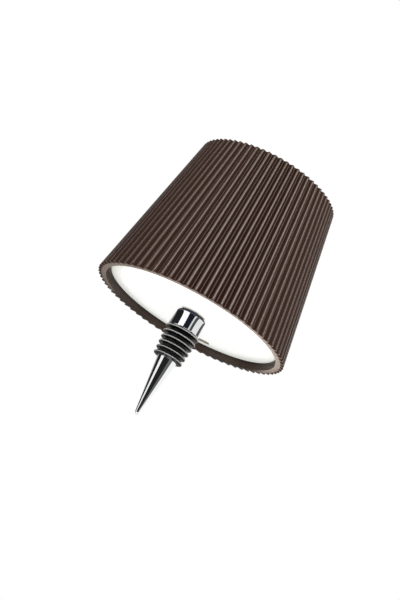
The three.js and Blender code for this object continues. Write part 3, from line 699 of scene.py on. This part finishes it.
class LAMP_OT_ribbed_shade(bpy.types.Operator):
    """Build the ribbed shade with its rim, ledge and screw bosses"""

    bl_idname = "lamp.ribbed_shade"
    bl_label = "Ribbed Shade"
    rib_points: IntProperty(name="Points", description="Along one rib's outline", default=24, min=6)

    def execute(self, context):
        shade = context.scene.lamp_shade
        rim_radius, rim, crown = round_box("shade")
        taper = shade.crown_radius / rim_radius
        valley = rim_radius - shade.rib_depth

        def inside(height):
            """Radius of the wall's inner face."""
            return valley * (1 - (1 - taper) * (height - rim) / (crown - rim)) - shade.wall

        bm = bmesh.new()
        loop = self.rim_outline(bm, shade, rim_radius, rim)
        bore = inside(shade.bore_top)
        inner = carry_round(bm, loop, valley - shade.rim_flat, rim)
        carry_round(bm, inner, bore, shade.bore_top)
        top = loop
        # Shares of the height with a loop; the loops by the ends keep the rounds short
        shares = (0.0, 0.008, 0.25, 0.5, 0.75, 0.992, 1.0)
        for start, end in zip(shares, shares[1:]):
            scale = (1 - (1 - taper) * end) / (1 - (1 - taper) * start)
            top = carry(bm, top, scale, (crown - rim) * (end - start))[1]
        crown_loop = top
        ledge_bottom = shade.ledge_top - shade.ledge_thickness
        ledge = inside(crown) - shade.ledge_width
        for radius, height in (
            (inside(crown), crown),
            (inside(crown), shade.ledge_top),
            (ledge, shade.ledge_top),
            (ledge, ledge_bottom),
            (inside(ledge_bottom), ledge_bottom),
            (bore, shade.bore_top),
        ):
            top = carry_round(bm, top, radius, height)
        soften(bm, loop + inner + crown_loop, shade.edge_round, 2)
        weld(bm, LOOSE_MERGE)
        face_out(bm)
        self.bosses(bm, shade, inside)
        make_piece(bm, "ribbed_shade", "head", "shade_brown", "shade", finish="ribbed_brown")
        return {"FINISHED"}

    def rim_outline(self, bm, shade, rim_radius, rim):
        """One rib's outline at the rim, copied round the axis into a closed loop."""
        pitch = math.tau / shade.rib_count
        start = -math.pi / 2 - pitch / 2
        spots = []
        for step in range(self.rib_points + 1):
            share = step / self.rib_points
            drop = rib_drop(abs(share - 0.5), shade.ridge_flat, shade.valley_flat)
            radius = rim_radius - shade.rib_depth * drop
            angle = start + pitch * share
            spots.append((radius * math.cos(angle), radius * math.sin(angle), rim))
        spin(bm, draw_line(bm, spots), math.tau - pitch, shade.rib_count - 1, copies=True)
        weld(bm, LOOSE_MERGE)
        if len(bm.edges) != shade.rib_count * self.rib_points:
            raise RuntimeError(f"the rim's outline has {len(bm.edges)} edges")
        return bm.edges[:]

    def bosses(self, bm, shade, inside):
        """The screw bosses, each with a web to the wall."""
        bottom, top = shade.bore_top, shade.bore_top + shade.boss_height
        far = inside(top) + shade.wall / 2
        for number in range(shade.boss_count):
            angle = -math.pi / 2 + number * math.tau / shade.boss_count
            place = Vector((math.cos(angle), math.sin(angle), 0.0)) * shade.boss_circle
            post(bm, place, shade.screw_hole, shade.boss_radius, bottom, top)
            near = shade.boss_circle + shade.screw_hole
            size = Vector((far - near, shade.boss_radius, top - bottom))
            middle = Vector(((far + near) / 2, 0.0, (top + bottom) / 2))
            web = Matrix.Translation(middle) @ Matrix.Diagonal((*size, 1.0))
            bmesh.ops.create_cube(bm, size=1.0, matrix=Matrix.Rotation(angle, 4, "Z") @ web)


class LAMP_OT_top_lid(bpy.types.Operator):
    """Build the lid in the shade's upper end, with its two posts"""

    bl_idname = "lamp.top_lid"
    bl_label = "Top Lid"

    def execute(self, context):
        shade = context.scene.lamp_shade
        radius, low, top = round_box("top_cover")
        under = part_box("top_gasket")[1].z
        hole = shade.button_radius + shade.button_gap
        bm = bmesh.new()
        held = shade.lid_round + HOLD
        sides = [(hole, under), (radius, under), (radius, top)]
        turn(bm, [*sides, (radius - held, top), (hole + held, top), (hole, top)], WIDE_SIDES, closed=True)
        soften(bm, ring_edges(bm, radius, top) + ring_edges(bm, hole, top), shade.lid_round, 4)
        for screw in ("switch_screw_1", "switch_screw_2"):
            corner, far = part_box(screw)
            place = (corner + far) / 2
            post(bm, place, shade.screw_hole, shade.post_radius, low, under)
        make_piece(bm, "top_lid", "head", "shade_brown", "top_cover")
        return {"FINISHED"}


class LAMP_OT_push_button(bpy.types.Operator):
    """Build the push button with its flange and stem"""

    bl_idname = "lamp.push_button"
    bl_label = "Push Button"

    def execute(self, context):
        shade = context.scene.lamp_shade
        flange, bottom, top = round_box("power_button")
        flange_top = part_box("top_gasket")[1].z - shade.button_gap
        flange_bottom = flange_top - shade.button_flange
        stem = shade.button_stem
        face = shade.button_radius
        dish = face * shade.dish_share
        points = [
            (0.0, bottom),
            (stem, bottom),
            (stem, flange_bottom),
            (flange, flange_bottom),
            (flange, flange_top),
            (face, flange_top),
            (face, top),
            (dish, top),
        ]
        points += quarter((dish, top), (0.0, top - shade.button_dish), 8, False)
        bm = bmesh.new()
        turn(bm, points, SMALL_SIDES)
        soften(bm, ring_edges(bm, face, top), shade.button_round, 4)
        make_piece(bm, "push_button", "button", "shade_brown", "power_button")
        return {"FINISHED"}


class LAMP_OT_opal_diffuser(bpy.types.Operator):
    """Build the opal diffuser with its rounded edge, hole and slot"""

    bl_idname = "lamp.opal_diffuser"
    bl_label = "Opal Diffuser"

    def execute(self, context):
        light = context.scene.lamp_light
        radius, face, rim = round_box("diffuser")
        inside = light.skirt_radius
        top = face + light.thickness
        flat = radius - light.edge_round
        level = Matrix.Translation((0.0, 0.0, face))
        bm = bmesh.new()
        edge_sides, hole_sides = 192, 72
        bmesh.ops.create_circle(bm, segments=edge_sides, radius=flat - HOLD, matrix=level)
        outer = bm.edges[:]
        bmesh.ops.create_circle(bm, segments=hole_sides, radius=light.hole_radius, matrix=level)
        hole = [edge for edge in bm.edges if edge not in set(outer)]
        slot = self.slot_outline(bm, light, face)
        bmesh.ops.triangle_fill(bm, use_beauty=True, edges=outer + hole + slot, normal=(0.0, 0.0, -1.0))
        loop = carry_round(bm, outer, flat, face)
        for spot in quarter((flat, face), (radius, face + light.edge_round), 6, True):
            loop = carry_round(bm, loop, *spot)
        for spot in ((inside + light.skirt, rim), (inside, rim), (inside, top)):
            loop = carry_round(bm, loop, *spot)
        upper = carry(bm, hole, lift=light.thickness)[1] + carry(bm, slot, lift=light.thickness)[1]
        bmesh.ops.triangle_fill(bm, use_beauty=True, edges=loop + upper, normal=(0.0, 0.0, 1.0))
        face_out(bm)
        make_piece(bm, "opal_diffuser", "head", "opal", "diffuser")
        return {"FINISHED"}

    def slot_outline(self, bm, light, face):
        """The slot round the port's cover, as a loop of edges."""
        width, depth, middle, _ = flat_box("port_cover")
        middle.z = face
        gap = light.slot_gap * 2
        panel = rounded_panel(bm, width + gap, depth + gap, light.cover_corner + light.slot_gap, middle)
        edges = panel.edges[:]
        bmesh.ops.delete(bm, geom=[panel], context="FACES_ONLY")
        return edges


class LAMP_OT_port_cover(bpy.types.Operator):
    """Build the soft cover over the charging port"""

    bl_idname = "lamp.port_cover"
    bl_label = "Port Cover"

    def execute(self, context):
        light = context.scene.lamp_light
        width, depth, middle, top = flat_box("port_cover")
        bm = bmesh.new()
        face = rounded_panel(bm, width, depth, light.cover_corner, middle)
        thicken(bm, face, top - middle.z)
        face_out(bm)
        rims = [edge for edge in bm.edges if abs(edge.verts[0].co.z - edge.verts[1].co.z) < NEAR]
        soften(bm, rims, light.cover_round, 3)
        make_piece(bm, "soft_port_cover", "port_flap", "white_silicone", "port_cover")
        return {"FINISHED"}


class LAMP_OT_charging_port(bpy.types.Operator):
    """Build the charging receptacle's shell and tongue"""

    bl_idname = "lamp.charging_port"
    bl_label = "Charging Port"

    def execute(self, context):
        light = context.scene.lamp_light
        width, depth, middle, top = flat_box("usb_port")
        floor = top - light.port_floor
        bm = bmesh.new()
        nearly_half = 0.499
        mouth = rounded_panel(bm, width, depth, depth * nearly_half, middle, 8)
        bmesh.ops.inset_region(
            bm, faces=[mouth], thickness=light.port_wall, use_boundary=True, use_even_offset=True
        )
        outer = [edge for edge in bm.edges if edge.is_boundary]
        inner = mouth.edges[:]
        bmesh.ops.delete(bm, geom=[mouth], context="FACES_ONLY")
        for loop, height in ((outer, top), (inner, floor)):
            end = carry(bm, loop, lift=height - middle.z)[1]
            bmesh.ops.contextual_create(bm, geom=end)
        face_out(bm)
        make_piece(bm, "port_shell", "head", "steel", "usb_port")
        bm = bmesh.new()
        size = (light.tongue_length, light.tongue_thickness, light.tongue_depth)
        place = Matrix.Translation((middle.x, middle.y, floor - light.tongue_depth / 2))
        bmesh.ops.create_cube(bm, size=1.0, matrix=place @ Matrix.Diagonal((*size, 1.0)))
        soften(bm, bm.edges[:], light.tongue_round, 2)
        make_piece(bm, "port_tongue", "head", "black_plastic")
        return {"FINISHED"}


class LAMP_OT_stopper_collar(bpy.types.Operator):
    """Build the polished collar under the shade"""

    bl_idname = "lamp.stopper_collar"
    bl_label = "Stopper Collar"

    def execute(self, context):
        stopper = context.scene.lamp_stopper
        radius, bottom, top = round_box("stopper_collar")
        bore = stopper.collar_bore
        bm = bmesh.new()
        small = stopper.edge_round
        narrow = radius - stopper.collar_taper
        held = [(radius, bottom + small + HOLD), (narrow, top - stopper.collar_round - HOLD)]
        outline = [(bore, bottom), (radius, bottom), *held, (narrow, top), (bore, top)]
        turn(bm, outline, MIDDLE_SIDES, closed=True)
        soften(bm, ring_edges(bm, narrow, top), stopper.collar_round, 12)
        soften(bm, ring_edges(bm, radius, bottom), small, 3)
        make_piece(bm, "polished_collar", "stopper", "chrome", "stopper_collar")
        return {"FINISHED"}


class LAMP_OT_finned_sleeve(bpy.types.Operator):
    """Build the soft sleeve with its fins"""

    bl_idname = "lamp.finned_sleeve"
    bl_label = "Finned Sleeve"

    def execute(self, context):
        stopper = context.scene.lamp_stopper
        top_fin, bottom, top = round_box("stopper_sleeve")
        points = [(stopper.sleeve_bore, bottom)]
        tips = []
        for fin in reversed(range(stopper.fin_count)):
            low = top - stopper.fin_root - fin * stopper.fin_pitch
            middle = low + stopper.fin_root / 2
            radius = top_fin + (stopper.low_fin_radius - top_fin) * fin / (stopper.fin_count - 1)
            tip = [(radius, middle - stopper.fin_edge / 2), (radius, middle + stopper.fin_edge / 2)]
            tips += tip
            root = stopper.sleeve_radius
            points += [(root, low), *tip, (root, low + stopper.fin_root)]
        points.append((stopper.sleeve_bore, top))
        bm = bmesh.new()
        turn(bm, points, MIDDLE_SIDES, closed=True)
        edges = [edge for tip in tips for edge in ring_edges(bm, *tip)]
        nearly_half = 0.48
        soften(bm, edges, stopper.fin_edge * nearly_half, 5)
        roots = [edge for point in points[2:-2] if point not in tips for edge in ring_edges(bm, *point)]
        soften(bm, roots, stopper.edge_round, 3)
        make_piece(bm, "finned_sleeve", "stopper", "black_silicone", "stopper_sleeve")
        return {"FINISHED"}


class LAMP_OT_pointed_spike(bpy.types.Operator):
    """Build the polished spike and its spindle"""

    bl_idname = "lamp.pointed_spike"
    bl_label = "Pointed Spike"

    def execute(self, context):
        stopper = context.scene.lamp_stopper
        tip, top = (corner.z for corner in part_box("stopper_spike"))
        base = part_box("stopper_sleeve")[0].z
        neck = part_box("stopper_collar")[0].z
        radius = stopper.spike_tip
        points = [(0.0, tip)]
        points += quarter((0.0, tip), (radius, tip + radius), 8, True)
        wider, taller = stopper.spike_base - radius, base - tip - radius
        # Loops by the cone's ends keep its rounds short
        for share in (0.02, 0.98):
            points.append((radius + wider * share, tip + radius + taller * share))
        points += [
            (stopper.spike_base, base),
            (stopper.spindle_radius, base),
            (stopper.spindle_radius, neck),
            (stopper.neck_radius, neck),
            (stopper.neck_radius, top),
            (0.0, top),
        ]
        bm = bmesh.new()
        turn(bm, points, MIDDLE_SIDES)
        soften(bm, ring_edges(bm, stopper.spike_base, base), stopper.edge_round, 3)
        make_piece(bm, "pointed_spike", "stopper", "chrome", "stopper_spike")
        return {"FINISHED"}


class LAMP_OT_screw_stud(bpy.types.Operator):
    """Build the threaded stud that the lamp screws onto"""

    bl_idname = "lamp.screw_stud"
    bl_label = "Screw Stud"
    turn_steps: IntProperty(name="Steps", description="In one turn of the thread", default=40, min=8)

    def execute(self, context):
        stopper = context.scene.lamp_stopper
        radius, bottom, top = round_box("threaded_stud")
        pitch = stopper.thread_pitch
        root = radius - stopper.thread_depth
        start = bottom - pitch * 2
        turns = math.ceil((top - start) / pitch) + 1
        bm = bmesh.new()
        # Radius, and share of the pitch, of each corner of the thread
        outline = [(root, 0.0), (root, 0.25), (radius, 0.5625), (radius, 0.6875), (root, 1.0)]
        line = draw_line(bm, [(out, 0.0, start + share * pitch) for out, share in outline])
        spin(bm, line, math.tau * turns, self.turn_steps * turns, pitch / self.turn_steps)
        weld(bm, LOOSE_MERGE)
        for height, direction in ((bottom, -1.0), (top, 1.0)):
            parts = bm.verts[:] + bm.edges[:] + bm.faces[:]
            made = bmesh.ops.bisect_plane(
                bm,
                geom=parts,
                dist=MERGE,
                plane_co=(0.0, 0.0, height),
                plane_no=(0.0, 0.0, direction),
                clear_outer=True,
            )
            cut = only(made["geom_cut"], bmesh.types.BMEdge)
            bmesh.ops.holes_fill(bm, edges=cut, sides=0)
        face_out(bm)
        make_piece(bm, "screw_stud", "stopper", "steel", "threaded_stud")
        return {"FINISHED"}


class LAMP_OT_screw_washer(bpy.types.Operator):
    """Build the washer between the collar and the lamp"""

    bl_idname = "lamp.screw_washer"
    bl_label = "Screw Washer"

    def execute(self, context):
        stopper = context.scene.lamp_stopper
        bore = stopper.collar_bore
        radius, bottom, top = round_box("thread_washer")
        bm = bmesh.new()
        turn(bm, [(bore, bottom), (radius, bottom), (radius, top), (bore, top)], SMALL_SIDES, closed=True)
        soften(bm, ring_edges(bm, radius, bottom) + ring_edges(bm, radius, top), stopper.washer_round, 3)
        make_piece(bm, "screw_washer", "washer", "nylon", "thread_washer")
        return {"FINISHED"}


# Solids that are plated over their own metal, because they show from outside
PLATED = {"stopper_socket": "chrome"}


class LAMP_OT_inner_finishes(bpy.types.Operator):
    """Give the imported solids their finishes, for those that show inside the lamp"""

    bl_idname = "lamp.inner_finishes"
    bl_label = "Inner Finishes"

    def execute(self, context):
        for part in frame["record"]["subparts"]:
            mesh = frame["nodes"][part["node"]].data
            mesh.materials.clear()
            mesh.materials.append(FINISHES[PLATED.get(part["node"], part["material_slot"])])
        return {"FINISHED"}


# Stage

# Name, azimuths, elevations and tone of each card that the shiny surfaces reflect
CARDS = (
    ("low_back_grey", (-180, -130), (-16, 20), 0.5),
    ("low_left_dark", (-130, -80), (-16, 9), 0.012),
    ("low_front_dark", (-46, 24), (-16, 9), 0.014),
    ("low_right_grey", (24, 44), (-16, 9), 0.15),
    ("low_right_dim", (44, 62), (-16, 9), 0.11),
    ("under_rim_warm", (120, 240), (-34, -9), (0.62, 0.47, 0.38)),
    ("upper_left_grey", (-110, -40), (20, 60), 0.38),
    ("back_left_dark", (-180, -110), (20, 60), 0.15),
    ("upper_right_pale", (70, 125), (20, 60), 0.75),
    ("back_right_pale", (125, 180), (20, 60), 0.9),
)

# The way that a flat card faces
UP = 1.0
DOWN = -1.0

# Inner and outer radius of each ring of flat cards, and the steps in a part of a ring
INNER_RING = (0.0065, 0.0105)
OUTER_RING = (0.0105, 0.049)
RIM_RING = (0.0165, 0.06)
FLOOR_RING = (0.12, 1.4)
SECTOR_STEPS = 16

# Name, azimuths and tone of each flat card under the diffuser, for the collar to reflect
NAVY = (0.006, 0.008, 0.016)
NAVY_GREY = (0.03, 0.033, 0.05)
INNER_CARDS = (("ring_inner_dark", (-180, 180), NAVY_GREY),)
OUTER_CARDS = (
    ("ring_left_grey", (-180, -116), 0.3),
    ("ring_left_dark", (-116, -52), 0.012),
    ("ring_left_pale", (-52, -17), 1.15),
    ("ring_front_dark", (-17, 17), NAVY),
    ("ring_front_pale", (17, 27), 0.7),
    ("ring_right_green", (27, 43), (0.05, 0.07, 0.065)),
    ("ring_right_pale", (43, 88), 0.85),
    ("ring_right_dim", (88, 119), 0.1),
    ("ring_back_pale", (119, 180), 0.9),
)

# Name, azimuths and tone of each flat card under the rim, for its end face to reflect
RIM_CARDS = (
    ("rim_left_pale", (-130, -40), (1.4, 1.25, 1.1)),
    ("rim_front_pale", (-40, 35), (2.6, 2.35, 2.15)),
    ("rim_right_pale", (35, 125), (2.8, 2.5, 2.25)),
)

# Name, azimuths and tone of each flat card on the floor, for the spike to reflect from above
FLOOR_CARDS = (
    ("floor_back_dark", (150, 200), 0.03),
    ("floor_left_dark", (-125, -95), 0.03),
    ("floor_left_grey", (-95, -75), 0.3),
    ("floor_front_dark", (-40, -12), 0.04),
    ("floor_right_dark", (50, 80), 0.03),
    ("floor_right_grey", (80, 105), 0.35),
)

# Elevations that the soft lights fill, and the name, azimuths and share of brightness of each
LIGHT_HEIGHTS = (24, 46)
SOFT_LIGHTS = (
    ("front_light", (-10, 20), 1.0),
    ("right_light", (35, 50), 1.12),
    ("left_light", (-40, -10), 0.45),
    ("side_light", (-95, -75), 0.4),
)


# Rays that see what a shiny or clear surface shows
SHINY_RAYS = ("Is Glossy Ray", "Is Transmission Ray")


def towards(azimuth, elevation):
    """The direction from the lamp of an azimuth and an elevation."""
    level = math.cos(elevation)
    return Vector((math.sin(azimuth) * level, -math.cos(azimuth) * level, math.sin(elevation)))


class LAMP_OT_stage(bpy.types.Operator):
    """Build the camera, the floor, the soft lights and the cards that shiny surfaces reflect"""

    bl_idname = "lamp.stage"
    bl_label = "Stage"

    def execute(self, context):
        stage = context.scene.lamp_stage
        self.camera(context, stage)
        self.floor(stage)
        self.world(context, stage)
        for light in SOFT_LIGHTS:
            self.panel(stage, *light)
        for card in CARDS:
            self.card(stage, *card)
        for cards, radii, height, facing in (
            (INNER_CARDS, INNER_RING, stage.ring_height, DOWN),
            (OUTER_CARDS, OUTER_RING, stage.ring_height, DOWN),
            (RIM_CARDS, RIM_RING, stage.rim_card_height, UP),
            (FLOOR_CARDS, FLOOR_RING, stage.floor_gap - stage.floor_depth, UP),
        ):
            for card in cards:
                self.sector(stage, *card, radii, height, facing)
        context.scene.view_settings.view_transform = "Standard"
        return {"FINISHED"}

    def camera(self, context, stage):
        """Stand the camera at its viewing angle."""
        back = towards(stage.azimuth, stage.elevation)
        level = Vector((math.cos(stage.azimuth), math.sin(stage.azimuth), 0.0))
        upright = back.cross(level)
        right = level * math.cos(stage.roll) + upright * math.sin(stage.roll)
        up = upright * math.cos(stage.roll) - level * math.sin(stage.roll)
        aim = Vector((0.0, 0.0, stage.aim_height)) + level * stage.aim_shift
        camera = bpy.data.objects.new("camera", bpy.data.cameras.new("camera"))
        camera.data.lens = stage.lens
        camera.data.clip_start = stage.near_clip
        turned = Matrix((right, up, back)).transposed().to_4x4()
        camera.matrix_world = Matrix.Translation(aim + back * stage.distance) @ turned
        context.scene.collection.objects.link(camera)
        context.scene.camera = camera

    def floor(self, stage):
        """A plain pale round floor that runs out into white and shows from above only."""
        pale = Finish("pale_floor")
        pale.tones(pale.noise(6.0, 2.0), (0.86, 0.86, 0.86), (0.88, 0.88, 0.88))
        pale.set(**{"Roughness": 0.9, "Emission Color": (1.0, 1.0, 1.0, 1.0)})
        rays = pale.node("ShaderNodeLightPath").outputs
        inward = pale.cone_gap((stage.floor_radius, 0.0), (stage.floor_radius, 1.0))
        far = pale.reckon("SUBTRACT", 1.0, pale.reckon("MULTIPLY", inward, stage.floor_dim))
        seen = pale.reckon("MULTIPLY", rays["Is Camera Ray"], far)
        for ray in SHINY_RAYS:
            seen = pale.reckon("ADD", seen, rays[ray])
        pale.link(seen, pale.shader.inputs["Emission Strength"])
        pale.one_sided()
        bm = bmesh.new()
        place = Matrix.Translation((0.0, 0.0, -stage.floor_depth))
        bmesh.ops.create_circle(
            bm, cap_ends=True, segments=SMALL_SIDES, radius=stage.floor_radius, matrix=place
        )
        make_object(bm, "floor", pale.material)

    def world(self, context, stage):
        """White where the camera or a shiny surface sees it, and a softer light on everything else."""
        world = bpy.data.worlds.new("white_room")
        world.use_nodes = True
        nodes = Nodes(world.node_tree)
        rays = nodes.node("ShaderNodeLightPath").outputs
        seen = rays["Is Camera Ray"]
        for ray in SHINY_RAYS:
            seen = nodes.reckon("MAXIMUM", seen, rays[ray])
        strength = nodes.node("ShaderNodeMapRange", to_min=stage.ambient, to_max=1.0)
        nodes.link(seen, strength.inputs["Value"])
        background = nodes.tree.nodes["Background"]
        background.inputs["Color"].default_value = (1.0, 1.0, 1.0, 1.0)
        nodes.link(strength.outputs["Result"], background.inputs["Strength"])
        context.scene.world = world

    def patch(self, stage, sides, heights, distance):
        """Place, width and height of a flat thing that fills a range of azimuths and elevations."""
        away = towards(stage.azimuth + math.radians(sum(sides) / 2), math.radians(sum(heights) / 2))
        facing = (-away).to_track_quat("-Z", "Y").to_matrix().to_4x4()
        width = 2 * distance * math.tan(math.radians(sides[1] - sides[0]) / 2)
        height = 2 * distance * math.tan(math.radians(heights[1] - heights[0]) / 2)
        return Matrix.Translation(away * distance) @ facing, width, height

    def panel(self, stage, name, sides, share):
        """A soft light that faces the lamp. Azimuths count from the camera's."""
        place, width, height = self.patch(stage, sides, LIGHT_HEIGHTS, stage.light_distance)
        data = bpy.data.lights.new(name, "AREA")
        data.shape = "RECTANGLE"
        data.size, data.size_y = width, height
        data.energy = stage.soft_light * share * math.pi * width * height
        light = bpy.data.objects.new(name, data)
        light.matrix_world = place
        bpy.context.scene.collection.objects.link(light)

    def card(self, stage, name, sides, heights, tone):
        """An upright card far from the lamp. Azimuths count from the camera's."""
        place, width, height = self.patch(stage, sides, heights, stage.card_distance)
        place = place @ Matrix.Diagonal((width, height, 1.0, 1.0))
        bm = bmesh.new()
        bmesh.ops.create_grid(bm, x_segments=1, y_segments=1, size=0.5, matrix=place)
        self.paper(bm, name, tone)

    def sector(self, stage, name, sides, tone, radii, height, facing):
        """A flat part of a ring that shows from one side only. Azimuths count from the camera's."""
        start = stage.azimuth + math.radians(sides[0]) - math.pi / 2
        width = math.radians(sides[1] - sides[0])
        way = Vector((math.cos(start), math.sin(start), 0.0))
        bm = bmesh.new()
        line = draw_line(bm, [way * radius + Vector((0.0, 0.0, height)) for radius in radii])
        spin(bm, line, width, SECTOR_STEPS)
        for face in bm.faces:
            face.normal_update()
            if face.normal.z * facing < 0:
                face.normal_flip()
        self.paper(bm, name, tone).one_sided()

    def paper(self, bm, name, tone):
        """Turn a bmesh into a card that only reflections show."""
        light = (tone, tone, tone) if isinstance(tone, float) else tone
        finish = Finish(name)
        finish.tones(finish.noise(5.0, 2.0), (0.01, 0.01, 0.011), (0.014, 0.014, 0.016))
        finish.set(**{"Roughness": 1.0, "Specular IOR Level": 0.0})
        finish.set(**{"Emission Color": (*light, 1.0), "Emission Strength": 1.0})
        card = make_object(bm, name, finish.material)
        card.visible_camera = False
        card.visible_diffuse = False
        card.visible_transmission = False
        card.visible_shadow = False
        return finish


class LAMP_PT_pieces(bpy.types.Panel):
    """Lists the lamp's pieces and sizes in the sidebar"""

    bl_idname = "LAMP_PT_pieces"
    bl_label = "Bottle Table Lamp"
    bl_space_type = "VIEW_3D"
    bl_region_type = "UI"
    bl_category = "Lamp"

    def draw(self, context):
        for operator in OPERATORS:
            self.layout.operator(operator.bl_idname)
        for settings in SETTINGS:
            group = getattr(context.scene, settings)
            box = self.layout.box()
            for name in group.bl_rna.properties.keys():
                if name not in ("rna_type", "name"):
                    box.prop(group, name)


SETTINGS = {
    "lamp_shade": LampShadeSettings,
    "lamp_light": LampLightSettings,
    "lamp_stopper": LampStopperSettings,
    "lamp_stage": LampStageSettings,
}
OPERATORS = (
    LAMP_OT_ribbed_shade,
    LAMP_OT_top_lid,
    LAMP_OT_push_button,
    LAMP_OT_opal_diffuser,
    LAMP_OT_port_cover,
    LAMP_OT_charging_port,
    LAMP_OT_stopper_collar,
    LAMP_OT_finned_sleeve,
    LAMP_OT_pointed_spike,
    LAMP_OT_screw_stud,
    LAMP_OT_screw_washer,
    LAMP_OT_inner_finishes,
    LAMP_OT_stage,
)


def register():
    """Make the settings, the operators and the panel known."""
    for name, group in SETTINGS.items():
        bpy.utils.register_class(group)
        setattr(bpy.types.Scene, name, PointerProperty(type=group))
    for operator in OPERATORS:
        bpy.utils.register_class(operator)
    bpy.utils.register_class(LAMP_PT_pieces)


def unregister():
    """Forget them again."""
    bpy.utils.unregister_class(LAMP_PT_pieces)
    for operator in reversed(OPERATORS):
        bpy.utils.unregister_class(operator)
    for name, group in SETTINGS.items():
        delattr(bpy.types.Scene, name)
        bpy.utils.unregister_class(group)


def main():
    """Build the lamp and its stage."""
    register()
    make_finishes(bpy.context.scene)
    bpy.ops.lamp.stage()
    bpy.ops.lamp.ribbed_shade()
    bpy.ops.lamp.top_lid()
    bpy.ops.lamp.push_button()
    bpy.ops.lamp.opal_diffuser()
    bpy.ops.lamp.port_cover()
    bpy.ops.lamp.charging_port()
    bpy.ops.lamp.stopper_collar()
    bpy.ops.lamp.finned_sleeve()
    bpy.ops.lamp.pointed_spike()
    bpy.ops.lamp.screw_stud()
    bpy.ops.lamp.screw_washer()
    bpy.ops.lamp.inner_finishes()


if __name__ == "__main__":
    main()
